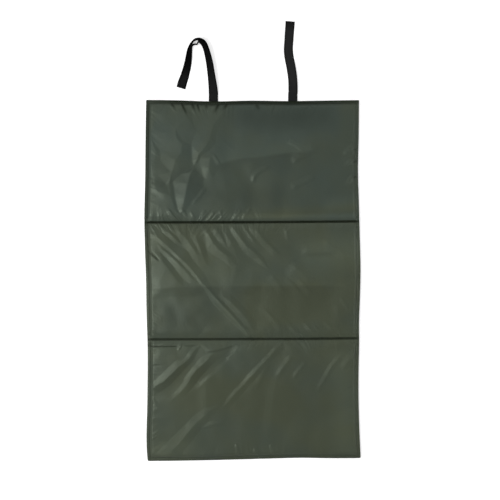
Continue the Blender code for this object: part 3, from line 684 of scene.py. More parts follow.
# The left strap's second ply
TAPE_WIDTH = 22 * MM
TAPE_THICKNESS = 1 * MM
TAPE_LENGTH = 185 * MM
TAPE_END_MARGIN = 6 * MM
TAPE_BUCKLE = 13 * MM
TAPE_BUCKLE_LENGTH = 50 * MM
TAPE_BUCKLE_SHARE = 0.56
LAYER_GAP = 0.3 * MM

# Sizes of the materials' patterns: the nylon's cloudy patches and crinkles, the webbing's ribs,
# weft and fuzz, the thread's strands and the foam's cells, and the length of a wave texture's
# own wave
PATCH_SIZE = 1000 * MM / 6
CRINKLE_SIZE = 100 * MM / 11
RIB_SPACING = 1.6 * MM
WEFT_SPACING = 1.1 * MM
FUZZ_SIZE = 2.5 * MM
STRAND_SIZE = 10 * MM / 9
CELL_SIZE = 10 * MM / 7
WAVE_UNIT = math.pi / 10

# Sockets of a Mix node that mixes colours, by number because several share each name: its two
# colours, and the mixed one
FIRST_COLOUR = 6
SECOND_COLOUR = 7
MIXED_COLOUR = 2

# Stage: each lamp with its place, its side and its property, the floor and the camera
LAMPS = (
    ("Key lamp", (-1.25, -0.12, 2.1), 0.8, "key"),
    ("Side lamp", (1.6, 0.0, 1.2), 0.8, "side"),
    ("Back lamp", (0.0, 2.9, 3.8), 1.9, "back"),
)
FLOOR_REACH = 20.0
FLOOR_DEPTH = 0.4 * MM
FLOOR_GLOW = 0.5
CAMERA_HEIGHT = 3.0


def linear(code):
    """An sRGB hex colour as linear red, green and blue."""
    shares = [int(code[place : place + 2], 16) / 255 for place in (1, 3, 5)]
    return tuple(s / 12.92 if s <= 0.04045 else ((s + 0.055) / 1.055) ** 2.4 for s in shares)


class MatColours(bpy.types.PropertyGroup):
    """Colours of the mat's materials."""

    nylon: FloatVectorProperty(
        name="Nylon", description="Coated nylon of the upper covers",
        subtype="COLOR", default=linear("#3D4640"),
    )
    nylon_warm: FloatVectorProperty(
        name="Nylon, faded", description="Patches where the coating is worn",
        subtype="COLOR", default=linear("#434839"),
    )
    underside: FloatVectorProperty(
        name="Underside", description="Coated nylon of the lower covers",
        subtype="COLOR", default=linear("#3A3F38"),
    )
    # painted shade: the colour the nylon is mixed towards where shade falls, in the folds' grooves, on the
    # rolled edges and in the tucks
    seam: FloatVectorProperty(
        name="Seam", description="Thread and shade in the folds",
        subtype="COLOR", default=linear("#1B2016"),
    )
    thread: FloatVectorProperty(
        name="Thread", description="Stitches", subtype="COLOR", default=linear("#2B3027"),
    )
    webbing: FloatVectorProperty(
        name="Webbing", description="Straps", subtype="COLOR", default=linear("#090A0A"),
    )
    foam: FloatVectorProperty(
        name="Foam", description="Padding", subtype="COLOR", default=linear("#8C8E90"),
    )


class MatSizes(bpy.types.PropertyGroup):
    """Sizes of the mat's soft parts."""

    cloth: FloatProperty(
        name="Cloth", description="Thickness of the covers' cloth", default=0.5 * MM, unit="LENGTH",
    )
    creasing: FloatProperty(
        name="Creasing", description="Height of the creases, as a share",
        default=1.0, min=0, max=2, subtype="FACTOR",
    )
    stitch_pitch: FloatProperty(
        name="Stitch pitch", description="From one stitch to the next", default=5 * MM, unit="LENGTH",
    )
    thread_spacing: FloatProperty(
        name="Thread spacing", description="Of the nylon's weave, twice the real one so that it shows",
        default=0.8 * MM, unit="LENGTH",
    )


class MatStage(bpy.types.PropertyGroup):
    """Lamps and floor."""

    floor: FloatVectorProperty(
        name="Floor", description="Floor under the mat", subtype="COLOR", default=linear("#F2F2F2"),
    )
    key: FloatProperty(name="Key lamp", description="Soft box on the left", default=30, unit="POWER")
    side: FloatProperty(
        name="Side lamp", description="Low soft box on the right", default=5, unit="POWER",
    )
    back: FloatProperty(
        name="Back lamp", description="Soft box beyond the straps", default=18, unit="POWER",
    )
    overhead: FloatProperty(
        name="Overhead", description="Brightness straight overhead",
        default=0.25, min=0, max=1, subtype="FACTOR",
    )


def spot(x, y):
    """The place on the mat that a pixel of the photograph shows."""
    return (x - ORIGIN_PIXEL_X) * PIXEL, (ORIGIN_PIXEL_Y - y) * PIXEL


def through(points, at):
    """A smooth curve through (place, value) points, read at some places."""
    places, values = np.array(points, float).T
    slopes = np.gradient(values, places)
    first = np.clip(np.searchsorted(places, at) - 1, 0, len(places) - 2)
    span = places[first + 1] - places[first]
    t = np.clip((at - places[first]) / span, 0, 1)
    start = (2 * t**3 - 3 * t**2 + 1) * values[first] + (t**3 - 2 * t**2 + t) * span * slopes[first]
    end = (3 * t**2 - 2 * t**3) * values[first + 1] + (t**3 - t**2) * span * slopes[first + 1]
    return start + end


def side_line(points, y):
    """Where a side of the outline is at heights y up the mat."""
    return spot(through(points, ORIGIN_PIXEL_Y - y / PIXEL), 0)[0]


def level_line(points, x):
    """Where an edge or fold is at places x across the mat."""
    return spot(0, through(points, x / PIXEL + ORIGIN_PIXEL_X))[1]


def rise(share):
    """A rounded slope, from 0 at its foot to 1 at its top."""
    return np.sin(math.pi / 2 * np.clip(share, 0, 1))


def smooth(share):
    """An even step from 0 to 1."""
    share = np.clip(share, 0, 1)
    return share * share * (3 - 2 * share)


def ripple(place, seed):
    """Smooth noise, about one wave to two units, the same each run."""
    values = np.random.default_rng(seed).uniform(-1, 1, LINE_VALUES)
    cell = np.floor(place).astype(int)
    t = smooth(place - cell)
    return values[cell % LINE_VALUES] * (1 - t) + values[(cell + 1) % LINE_VALUES] * t


def relief(x, y, seed):
    """Smooth noise over a plane, the same each run."""
    values = np.random.default_rng(seed).uniform(-1, 1, (PLANE_VALUES, PLANE_VALUES))
    column, row = np.floor(x).astype(int), np.floor(y).astype(int)
    u, v = smooth(x - column), smooth(y - row)
    right, above = (column + 1) % PLANE_VALUES, (row + 1) % PLANE_VALUES
    column, row = column % PLANE_VALUES, row % PLANE_VALUES
    low = values[row, column] * (1 - u) + values[row, right] * u
    high = values[above, column] * (1 - u) + values[above, right] * u
    return low * (1 - v) + high * v


def even(start, end, step):
    """Even stations between two others, without them."""
    return np.linspace(start, end, max(2, round((end - start) / step)) + 1)[1:-1]


class Plan:
    """Stations of the cloth over the whole mat, and each one's distances to what shapes it."""

    def __init__(self, step):
        near = np.array(EDGE_STATIONS) / MAT_WIDTH
        inner = even(near[-1], 1 - near[-1], step / MAT_WIDTH)
        self.across = np.concatenate([near, inner, 1 - near[::-1]])
        rows = []
        for number in range(len(PANELS)):
            length = LEVELS[number + 1] - LEVELS[number]
            low = np.array(FOLD_STATIONS if number else EDGE_STATIONS) / length
            high = np.array(EDGE_STATIONS if number == LAST_PANEL else FOLD_STATIONS) / length
            high = 1 - high[::-1]
            inner = even(low[-1], high[0], step / length)
            rows.append(number + np.concatenate([low if number == 0 else low[1:], inner, high]))
        self.along = np.concatenate(rows)
        self.place()

    def place(self):
        """Works out each station's place, and its distances to the sides and its panel's ends."""
        t = self.along[:, None] + 0 * self.across
        s = self.across + 0 * t
        self.panel = np.clip(np.floor(t), 0, LAST_PANEL).astype(int)
        x = (s - 0.5) * MAT_WIDTH
        y = np.interp(t, range(len(LEVELS)), LEVELS)
        for _ in range(PLACING_ROUNDS):
            left, right = side_line(LEFT_SIDE, y), side_line(RIGHT_SIDE, y)
            x = left + (right - left) * s
            lines = np.stack([level_line(points, x) for points in LEVEL_LINES])
            low = np.take_along_axis(lines, self.panel[None], 0)[0]
            high = np.take_along_axis(lines, self.panel[None] + 1, 0)[0]
            y = low + (high - low) * (t - self.panel)
        self.x, self.y = x, y
        self.from_left, self.from_right = x - left, right - x
        self.from_low, self.from_high = y - low, high - y
        self.low_is_fold = self.panel > 0
        self.high_is_fold = self.panel < LAST_PANEL

    def row(self, level, offset):
        """The row at a distance above (or below, where it is negative) a fold."""
        panel = level if offset > 0 else level - 1
        length = LEVELS[panel + 1] - LEVELS[panel]
        return int(np.argmin(abs(self.along - level - offset / length)))

    def fold_rise(self, distance):
        """Share of the padding's height at a distance from a fold."""
        near = rise(distance / FOLD_BULGE)
        return FOLD_BULGE_SHARE * near + (1 - FOLD_BULGE_SHARE) * rise(distance / FOLD_SLOPE)

    def swell(self):
        """Share of the full padding at each station: 0 on the flange, 1 on the flat."""
        side = np.minimum(self.from_left, self.from_right)
        shares = rise((side - SLOPE_INSET) / SIDE_SLOPE)
        ends = ((self.from_low, self.low_is_fold), (self.from_high, self.high_is_fold))
        for distance, folded in ends:
            edge = rise((distance - SLOPE_INSET) / SIDE_SLOPE)
            shares = shares * np.where(folded, self.fold_rise(distance), edge)
        return shares

    def crown(self):
        """The gentle swell of the upper side over its flat."""
        across = (self.from_right - self.from_left) / (self.from_left + self.from_right)
        along = (self.from_high - self.from_low) / (self.from_low + self.from_high)
        arch = np.clip(1 - across**2, 0, 1) * np.clip(1 - along**2, 0, 1)
        return CROWN * np.sqrt(arch) * self.swell()

    def clear_of_seams(self, reach):
        """0 where the cloth is sewn down, 1 a little way off."""
        gaps = [self.from_left - SLOPE_INSET, self.from_right - SLOPE_INSET]
        gaps.append(np.where(self.low_is_fold, self.from_low, self.from_low - SLOPE_INSET))
        gaps.append(np.where(self.high_is_fold, self.from_high, self.from_high - SLOPE_INSET))
        return smooth(np.minimum.reduce(gaps) / reach)


def finer(path):
    """More points along a smooth curve through a path's own points."""
    path = np.array([spot(*point) for point in path])
    share = np.arange(len(path), dtype=float)
    at = np.linspace(0, len(path) - 1, (len(path) - 1) * CREASE_STEPS + 1)
    return np.stack([through(np.stack([share, path[:, axis]], 1), at) for axis in (0, 1)], 1)


def beside(x, y, path):
    """Signed distance of points from a path, positive to its east, and the share along it."""
    steps = np.hypot(*np.diff(path, axis=0).T)
    run = np.concatenate([[0], np.cumsum(steps)]) / steps.sum()
    best = np.full(x.shape, np.inf)
    side, share = np.zeros(x.shape), np.zeros(x.shape)
    for number, length in enumerate(steps):
        start, way = path[number], (path[number + 1] - path[number]) / length
        over = np.clip((x - start[0]) * way[0] + (y - start[1]) * way[1], 0, length)
        off_x, off_y = x - start[0] - over * way[0], y - start[1] - over * way[1]
        away = np.hypot(off_x, off_y)
        nearer = away < best
        best = np.where(nearer, away, best)
        side = np.where(nearer, np.sign(way[1] * off_x - way[0] * off_y), side)
        share = np.where(nearer, run[number] + over / steps.sum(), share)
    northwards = 1 if path[-1][1] > path[0][1] else -1
    return best * side * northwards, share


def widths(side, share):
    """A crease's width on one side, at shares along it."""
    side = np.atleast_1d(side) * MM
    return np.interp(share, np.linspace(0, 1, len(side)), side)


def crease_value(x, y, crease):
    """A crease's value at each point: a tent over its crest, tapered at both ends."""
    path = finer(crease.path)
    reach = max(np.max(crease.lit), np.max(crease.far)) * MM
    low, high = path.min(0) - reach, path.max(0) + reach
    near = (x > low[0]) & (x < high[0]) & (y > low[1]) & (y < high[1])
    value = np.zeros(x.shape)
    distance, share = beside(x[near], y[near], path)
    side = np.where(distance < 0, widths(crease.lit, share), widths(crease.far, share))
    tent = 1 - np.clip(abs(distance) / side, 0, 1)
    tent = tent + crease.soft * (tent**2 * (3 - 2 * tent) - tent)
    start, end = crease.ends
    value[near] = crease.value * tent * smooth(share / start) * smooth((1 - share) / end)
    return value


def sum_of(x, y, creases):
    """The values of several creases added up at each point."""
    return sum(crease_value(x, y, crease) for crease in creases)


def facet_height(x, y, edges):
    """How much flat facets lift the cloth, between edges whose heights are known."""
    corners = [corner for edge in edges for corner in edge]
    firsts = np.cumsum([0] + [len(edge) for edge in edges])
    sides = [(n, n + 1) for first, last in zip(firsts, firsts[1:]) for n in range(first, last - 1)]
    net = delaunay_2d_cdt([Vector(spot(*corner[:2])) for corner in corners], sides, [], 0, FACET_SNAP)
    places, faces, sources = net[0], net[2], net[3]
    levels = [corners[source[0]][2] * MM for source in sources]
    height = np.zeros(x.shape)
    for face in faces:
        (ax, ay), (bx, by), (cx, cy) = (places[number] for number in face)
        area = (by - cy) * (ax - cx) + (cx - bx) * (ay - cy)
        u = ((by - cy) * (x - cx) + (cx - bx) * (y - cy)) / area
        v = ((cy - ay) * (x - cx) + (ax - cx) * (y - cy)) / area
        inside = (u >= 0) & (v >= 0) & (u + v <= 1)
        a, b, c = (levels[number] for number in face)
        height = np.where(inside, u * a + v * b + (1 - u - v) * c, height)
    return height


def gathers(along, distance, points, seed):
    """Small puckers beside a sewn line, strongest a little way from it, with sharp crests."""
    strength = np.interp(along, *np.array(points, float).T)
    lean = GATHER_LEAN * ripple(along * PIXEL / GATHER_LEAN_SPACING, seed + 1)
    place = (along * PIXEL - lean * distance) / GATHER_SPACING
    wave = 1 - GATHER_SHARPNESS * abs(ripple(2 * place, seed))
    wave = wave + FINE_GATHER_SHARE * ripple(FINE_GATHER_PACE * place, seed + 2)
    share = np.clip(distance, 0, None) / GATHER_REACH
    return GATHER_HEIGHT / 2 * strength * wave * share * np.exp(1 - share)


def all_gathers(plan):
    """The puckers along every edge and both sides of each fold."""
    column = plan.x / PIXEL + ORIGIN_PIXEL_X
    row = ORIGIN_PIXEL_Y - plan.y / PIXEL
    low = (BOTTOM_GATHERS, ABOVE_BOTTOM_FOLD_GATHERS, ABOVE_TOP_FOLD_GATHERS)
    high = (BELOW_BOTTOM_FOLD_GATHERS, BELOW_TOP_FOLD_GATHERS, TOP_GATHERS)
    height = np.zeros(plan.x.shape)
    for number in range(len(PANELS)):
        own = plan.panel == number
        from_low = plan.from_low - (0 if number else SLOPE_INSET)
        from_high = plan.from_high - (SLOPE_INSET if number == LAST_PANEL else 0)
        height += own * gathers(column, from_low, low[number], LOW_GATHER_SEED + number)
        height += own * gathers(column, from_high, high[number], HIGH_GATHER_SEED + number)
    height += gathers(row, plan.from_left - SLOPE_INSET, LEFT_GATHERS, LEFT_GATHER_SEED)
    height += gathers(row, plan.from_right - SLOPE_INSET, RIGHT_GATHERS, RIGHT_GATHER_SEED)
    return height


def grid_normals(points):
    """Normals of a grid of points, upwards."""
    across, along = np.gradient(points, axis=1), np.gradient(points, axis=0)
    normals = np.cross(across, along)
    return normals / np.linalg.norm(normals, axis=2, keepdims=True)


def flat_height(plan):
    """The upper cloth's height before its creases."""
    return SEAM_HEIGHT + FLANGE_TOP + SWELL * plan.swell() + plan.crown()


def crease_lift(plan, creasing):
    """How much the creases, facets, swells and gathers lift the upper cloth."""
    lift = sum(
        SWELL_HEIGHT * share * relief(plan.x / SWELL_SPACING * pace, plan.y / SWELL_SPACING * pace, seed)
        for share, pace, seed in SWELLS
    )
    for number, creases in enumerate((BOTTOM_CREASES, MIDDLE_CREASES, TOP_CREASES)):
        lift += (plan.panel == number) * MM * sum_of(plan.x, plan.y, creases)
    for number, edges in enumerate((BOTTOM_FACET_EDGES, MIDDLE_FACET_EDGES, TOP_FACET_EDGES)):
        lift += (plan.panel == number) * FACET_SCALES[number] * facet_height(plan.x, plan.y, edges)
    return creasing * (lift * plan.clear_of_seams(CREASE_STANDOFF) + all_gathers(plan))


def settled(plan, height):
    """How far simulated cloth rises from its place over the foam: a capped share of it."""
    numbers = np.arange(height.size).reshape(height.shape)
    start = np.stack([plan.x, plan.y, height], 2).reshape(-1, 3)
    mesh = bpy.data.meshes.new("Settling cloth")
    mesh.from_pydata(start.tolist(), [], quads(numbers).tolist())
    piece = bpy.data.objects.new("Settling cloth", mesh)
    scene = bpy.context.scene
    scene.collection.objects.link(piece)
    sewn = plan.clear_of_seams(SEWN_REACH).reshape(-1) < 1
    held = piece.vertex_groups.new(name="held")
    held.add(numbers.reshape(-1)[sewn].tolist(), 1, "REPLACE")
    held.add(numbers.reshape(-1)[~sewn].tolist(), FOAM_HOLD, "REPLACE")
    cloth = piece.modifiers.new("Cloth", "CLOTH")
    cloth.settings.vertex_group_mass = held.name
    cloth.settings.quality = CLOTH_QUALITY
    cloth.settings.use_pressure = True
    cloth.settings.uniform_pressure_force = CLOTH_PRESSURE
    cloth.settings.shrink_min = -CLOTH_SLACK
    cloth.settings.bending_stiffness = CLOTH_BENDING
    cloth.settings.effector_weights.gravity = 0
    cloth.point_cache.frame_end = SETTLING_FRAMES
    for number in range(1, SETTLING_FRAMES + 1):
        scene.frame_set(number)
    with bpy.context.temp_override(object=piece):
        bpy.ops.object.modifier_apply(modifier=cloth.name)
    places = np.zeros(len(mesh.vertices) * 3)
    piece.data.vertices.foreach_get("co", places)
    scene.frame_set(1)
    bpy.data.objects.remove(piece)
    risen = places.reshape(*height.shape, 3)[:, :, 2] - height
    for _ in range(SETTLED_SMOOTHING):
        for axis in (0, 1):
            around = (np.roll(risen, 1, axis) + np.roll(risen, -1, axis)) / 2
            risen = (risen + around) / 2 * (~sewn.reshape(risen.shape))
    return CLOTH_CAP * np.tanh(SETTLED_SHARE * risen / CLOTH_CAP)


def resampled(values, plan, finer_plan):
    """A plan's values at a finer plan's stations."""
    across = np.array([np.interp(finer_plan.across, plan.across, row) for row in values])
    return np.array([np.interp(finer_plan.along, plan.along, column) for column in across.T]).T


@functools.cache
def upper_cloth(creasing):
    """The upper covers' outer face over the whole mat: its plan, points and normals."""
    plan = Plan(FINE_STEP)
    height = flat_height(plan) + crease_lift(plan, creasing)
    coarse = Plan(SETTLING_STEP)
    rise_of_cloth = settled(coarse, flat_height(coarse) + crease_lift(coarse, creasing))
    height = height + creasing * resampled(rise_of_cloth, coarse, plan)
    points = np.stack([plan.x, plan.y, height], 2)
    return plan, points, grid_normals(points)


@functools.cache
def lower_cloth(creasing):
    """The lower covers' outer face, which rests on the floor: plan, points and normals."""
    plan = Plan(COARSE_STEP)
    swell = plan.swell()
    x, y = plan.x / SWELL_SPACING * SLACK_PACE, plan.y / SWELL_SPACING * SLACK_PACE
    slack = creasing * SWELL_HEIGHT * abs(relief(x, y, SLACK_SEED))
    slack = slack + creasing * np.clip(all_gathers(plan), 0, None)
    slack = slack * plan.clear_of_seams(CREASE_STANDOFF) * (1 - swell / 2)
    height = SEAM_HEIGHT - FLANGE_TOP - SWELL * swell + slack
    points = np.stack([plan.x, plan.y, np.clip(height, 0, None)], 2)
    return plan, points, -grid_normals(points)


def add_node(tree, kind, inputs=None, **settings):
    """Adds a shader node with its settings, and its inputs as values or other nodes' outputs."""
    node = tree.nodes.new(kind)
    for name, value in settings.items():
        setattr(node, name, value)
    for name, value in (inputs or {}).items():
        if isinstance(value, bpy.types.NodeSocket):
            tree.links.new(value, node.inputs[name])
        else:
            node.inputs[name].default_value = value
    return node


def new_material(name):
    """An empty node material: its tree and its Principled shader."""
    material = bpy.data.materials.new(name)
    material.use_nodes = True
    tree = material.node_tree
    tree.nodes.clear()
    shader = add_node(tree, "ShaderNodeBsdfPrincipled")
    add_node(tree, "ShaderNodeOutputMaterial", {"Surface": shader.outputs["BSDF"]})
    return material, tree, shader


def rgba(colour, brightness=1.0):
    """A colour with full alpha, made darker or lighter."""
    return (*(share * brightness for share in colour), 1.0)


def coated_nylon(name, colour, faded, seam, thread_spacing):
    """PU-coated nylon oxford, woven and calendered: a close plain weave under a thin coat,
    which gives it a satin sheen, crinkles of a few millimetres and cloudy patches."""
    material, tree, shader = new_material(name)
    place = add_node(tree, "ShaderNodeTexCoord").outputs["Object"]
    clouds = add_node(
        tree, "ShaderNodeTexNoise",
        {"Vector": place, "Scale": 1 / PATCH_SIZE, "Detail": 3, "Roughness": 0.6},
    )
    patch = add_node(
        tree, "ShaderNodeMapRange",
        {"Value": clouds.outputs["Fac"], "From Min": 0.35, "From Max": 0.65, "To Min": 0, "To Max": 0.5},
    )
    warmth = add_node(tree, "ShaderNodeAttribute", attribute_name="warmth")
    share = add_node(
        tree, "ShaderNodeMath", {0: patch.outputs["Result"], 1: warmth.outputs["Fac"]},
        operation="ADD", use_clamp=True,
    )
    hue = add_node(
        tree, "ShaderNodeMix",
        {"Factor": share.outputs[0], FIRST_COLOUR: rgba(colour), SECOND_COLOUR: rgba(faded)},
        data_type="RGBA",
    )
    # painted light and shade: the cloth's brightness raised or lowered where light or shade falls on its
    # swells, ridges and slopes
    tone = add_node(tree, "ShaderNodeAttribute", attribute_name="tone")
    cloth = add_node(
        tree, "ShaderNodeHueSaturation",
        {"Color": hue.outputs[MIXED_COLOUR], "Value": tone.outputs["Fac"]},
    )
    # painted shade: the cloth mixed towards the painted shade colour in the folds' grooves, on the rolled
    # edges and in the tucks
    shade = add_node(tree, "ShaderNodeAttribute", attribute_name="shade")
    base = add_node(
        tree, "ShaderNodeMix",
        {
            "Factor": shade.outputs["Fac"], FIRST_COLOUR: cloth.outputs["Color"],
            SECOND_COLOUR: rgba(seam),
        },
        data_type="RGBA",
    )
    tree.links.new(base.outputs[MIXED_COLOUR], shader.inputs["Base Color"])
    gloss = add_node(
        tree, "ShaderNodeMapRange",
        {"Value": clouds.outputs["Fac"], "From Min": 0.3, "From Max": 0.7, "To Min": 0.36, "To Max": 0.44},
    )
    tree.links.new(gloss.outputs["Result"], shader.inputs["Roughness"])
    # the coat's sheen, turned down where shade is painted, so that those places lose their reflection too
    sheen = add_node(
        tree, "ShaderNodeMapRange",
        {"Value": shade.outputs["Fac"], "From Min": 0, "From Max": 1, "To Min": 0.32, "To Max": 0.02},
    )
    tree.links.new(sheen.outputs["Result"], shader.inputs["Specular IOR Level"])
    shader.inputs["Specular Tint"].default_value = rgba(linear("#EEFDE6"))
    # crinkles about 9 mm apart, and the weave drawn twice as coarse as its 0.4 mm
    crinkle = add_node(
        tree, "ShaderNodeTexNoise",
        {"Vector": place, "Scale": 1 / CRINKLE_SIZE, "Detail": 2, "Roughness": 0.5},
    )
    crinkled = add_node(
        tree, "ShaderNodeBump",
        {"Height": crinkle.outputs["Fac"], "Strength": 0.35, "Distance": 0.5 * MM},
    )
    waves = []
    for direction in ("X", "Y"):
        wave = add_node(
            tree, "ShaderNodeTexWave",
            {"Vector": place, "Scale": WAVE_UNIT / thread_spacing, "Distortion": 0.4, "Detail": 1},
            bands_direction=direction,
        )
        waves.append(wave.outputs["Fac"])
    weave = add_node(tree, "ShaderNodeMath", {0: waves[0], 1: waves[1]}, operation="MULTIPLY")
    woven = add_node(
        tree, "ShaderNodeBump",
        {
            "Height": weave.outputs[0], "Strength": 0.2, "Distance": 0.05 * MM,
            "Normal": crinkled.outputs["Normal"],
        },
    )
    tree.links.new(woven.outputs["Normal"], shader.inputs["Normal"])
    return material


def polypropylene_webbing(name, colour):
    """Woven polypropylene webbing: ribs along its length, crossed by the weft, and matt."""
    material, tree, shader = new_material(name)
    place = add_node(tree, "ShaderNodeUVMap", uv_map="strap").outputs["UV"]
    # ribs side by side across the strap, and the weft across them
    ribs = add_node(
        tree, "ShaderNodeTexWave",
        {"Vector": place, "Scale": WAVE_UNIT / RIB_SPACING, "Distortion": 0.3, "Detail": 1},
        bands_direction="X",
    )
    weft = add_node(
        tree, "ShaderNodeTexWave",
        {"Vector": place, "Scale": WAVE_UNIT / WEFT_SPACING, "Distortion": 0.6, "Detail": 1},
        bands_direction="Y",
    )
    woven = add_node(
        tree, "ShaderNodeMath", {0: ribs.outputs["Fac"], 1: weft.outputs["Fac"]}, operation="MULTIPLY",
    )
    fuzz = add_node(
        tree, "ShaderNodeTexNoise", {"Vector": place, "Scale": 1 / FUZZ_SIZE, "Detail": 2},
    )
    mottle = add_node(
        tree, "ShaderNodeMath", {0: woven.outputs[0], 1: fuzz.outputs["Fac"]}, operation="MULTIPLY",
    )
    base = add_node(
        tree, "ShaderNodeMix",
        {
            "Factor": mottle.outputs[0], FIRST_COLOUR: rgba(colour, 0.7),
            SECOND_COLOUR: rgba(colour, 1.6),
        },
        data_type="RGBA",
    )
    # painted light and shade along the strap and at its selvedges: its colour and its sheen are raised or
    # lowered together
    tone = add_node(tree, "ShaderNodeAttribute", attribute_name="tone")
    cloth = add_node(
        tree, "ShaderNodeHueSaturation",
        {"Color": base.outputs[MIXED_COLOUR], "Value": tone.outputs["Fac"]},
    )
    tree.links.new(cloth.outputs["Color"], shader.inputs["Base Color"])
    shader.inputs["Roughness"].default_value = 0.7
    sheen = add_node(tree, "ShaderNodeMath", {0: tone.outputs["Fac"], 1: 0.2}, operation="MULTIPLY")
    tree.links.new(sheen.outputs[0], shader.inputs["Specular IOR Level"])
    bump = add_node(
        tree, "ShaderNodeBump", {"Height": woven.outputs[0], "Strength": 0.6, "Distance": 0.25 * MM},
    )
    tree.links.new(bump.outputs["Normal"], shader.inputs["Normal"])
    return material


def polyester_thread(name, colour):
    """Polyester sewing thread, spun and bonded: a low sheen, twisted too finely to show."""
    material, tree, shader = new_material(name)
    place = add_node(tree, "ShaderNodeTexCoord").outputs["Object"]
    strand = add_node(
        tree, "ShaderNodeTexNoise", {"Vector": place, "Scale": 1 / STRAND_SIZE, "Detail": 1},
    )
    base = add_node(
        tree, "ShaderNodeMix",
        {
            "Factor": strand.outputs["Fac"], FIRST_COLOUR: rgba(colour),
            SECOND_COLOUR: rgba(colour, 1.5),
        },
        data_type="RGBA",
    )
    tree.links.new(base.outputs[MIXED_COLOUR], shader.inputs["Base Color"])
    shader.inputs["Roughness"].default_value = 0.55
    return material


def polyethylene_foam(name, colour):
    """Closed-cell polyethylene foam, sliced: a matt skin full of cells of over a millimetre."""
    material, tree, shader = new_material(name)
    place = add_node(tree, "ShaderNodeTexCoord").outputs["Object"]
    cells = add_node(tree, "ShaderNodeTexVoronoi", {"Vector": place, "Scale": 1 / CELL_SIZE})
    base = add_node(
        tree, "ShaderNodeMix",
        {
            "Factor": cells.outputs["Distance"], FIRST_COLOUR: rgba(colour),
            SECOND_COLOUR: rgba(colour, 0.7),
        },
        data_type="RGBA",
    )
    tree.links.new(base.outputs[MIXED_COLOUR], shader.inputs["Base Color"])
    shader.inputs["Roughness"].default_value = 0.9
    bump = add_node(
        tree, "ShaderNodeBump",
        {"Height": cells.outputs["Distance"], "Strength": 0.4, "Distance": 0.3 * MM},
    )
    tree.links.new(bump.outputs["Normal"], shader.inputs["Normal"])
    return material


@functools.cache
def finish(name):
    """The mat's materials by name, each made once."""
    colours = bpy.context.scene.mat_colours
    weave = (colours.seam, bpy.context.scene.mat_sizes.thread_spacing)
    if name == "upper_nylon":
        return coated_nylon("Coated nylon, upper", colours.nylon, colours.nylon_warm, *weave)
    if name == "lower_nylon":
        return coated_nylon("Coated nylon, lower", colours.underside, colours.underside, *weave)
    if name == "webbing":
        return polypropylene_webbing("Polypropylene webbing", colours.webbing)
    if name == "thread":
        return polyester_thread("Polyester thread", colours.thread)
    return polyethylene_foam("Polyethylene foam", colours.foam)


def add_piece(name, points, faces, material):
    """A smooth mesh piece from its points and faces."""
    mesh = bpy.data.meshes.new(name)
    mesh.from_pydata(np.asarray(points).tolist(), [], [list(map(int, face)) for face in faces])
    mesh.shade_smooth()
    mesh.materials.append(material)
    piece = bpy.data.objects.new(name, mesh)
    bpy.context.scene.collection.objects.link(piece)
    return piece


def quads(numbers):
    """Faces between a grid's points, counted round from above."""
    corners = [numbers[:-1, :-1], numbers[:-1, 1:], numbers[1:, 1:], numbers[1:, :-1]]
    return np.stack(corners, axis=-1).reshape(-1, 4)


def rim(numbers, behind):
    """Faces from the border of a grid to its copy behind."""
    loop = np.concatenate([numbers[0, :-1], numbers[:-1, -1], numbers[-1, :0:-1], numbers[:0:-1, 0]])
    return np.stack([loop, loop + behind, np.roll(loop, -1) + behind, np.roll(loop, -1)], axis=-1)


def cloth_shell(points, normals, thickness, facing, first=0):
    """Points, faces and normals of a closed piece of cloth behind a grid of points."""
    numbers = first + np.arange(points.shape[0] * points.shape[1]).reshape(points.shape[:2])
    behind = numbers.size
    both = np.concatenate([points.reshape(-1, 3), (points - normals * thickness).reshape(-1, 3)])
    faces = np.concatenate([quads(numbers), quads(numbers + behind)[:, ::-1], rim(numbers, behind)])
    if facing < 0:
        faces = faces[:, ::-1]
    flat = normals.reshape(-1, 3)
    return both, faces, np.concatenate([flat, -flat])


def painted_shade_share(points):
    """How much painted shade the nylon gets at some points: in the folds' grooves, on the rolled edges and
    in the tucks.
    """
    x, y = points[:, 0], points[:, 1]
    left = np.interp(ORIGIN_PIXEL_Y - y / PIXEL, *np.array(LEFT_EDGE_SHADES, float).T)
    top = np.interp(ORIGIN_PIXEL_X + x / PIXEL, *np.array(TOP_EDGE_SHADES, float).T)
    edges = (
        (x - side_line(LEFT_SIDE, y), left),
        (side_line(RIGHT_SIDE, y) - x, RIGHT_EDGE_SHADE),
        (y - level_line(BOTTOM_LINE, x), BOTTOM_EDGE_SHADE),
        (level_line(TOP_LINE, x) - y, top),
    )
    shades = [share * smooth((EDGE_SHADE_REACH - distance) / EDGE_SHADE_FADE) for distance, share in edges]
    shades.append(sum_of(x, y, PAINTED_HOLLOW_SHADE))
    for line, share in ((TOP_FOLD_LINE, TOP_FOLD_SHADE), (BOTTOM_FOLD_LINE, BOTTOM_FOLD_SHADE)):
        distance = abs(y - level_line(line, x))
        shades.append(share * smooth((FOLD_SHADE_REACH - distance) / FOLD_SHADE_FADE))
    return np.clip(np.maximum.reduce(shades), 0, 1)


def mark_points(piece, **values):
    """Stores values at a piece's points by name, for its material to read."""
    for name, value in values.items():
        marks = piece.data.attributes.new(name, "FLOAT", "POINT")
        marks.data.foreach_set("value", value.astype(np.float32))


def shaded(piece, points):
    """Gives a nylon piece its painted shade, its painted light and shade, and its warmth."""
    points = np.asarray(points)
    x, y = points[:, 0], points[:, 1]
    panel = np.clip(np.searchsorted(LEVELS, y) - 1, 0, LAST_PANEL)
    mark_points(
        piece,
        shade=painted_shade_share(points),
        tone=1 + sum_of(x, y, LIGHT_AND_SHADE_MARKS),
        warmth=np.array(PANEL_WARMTHS)[panel] + sum_of(x, y, WARMTHS),
    )
    return piece


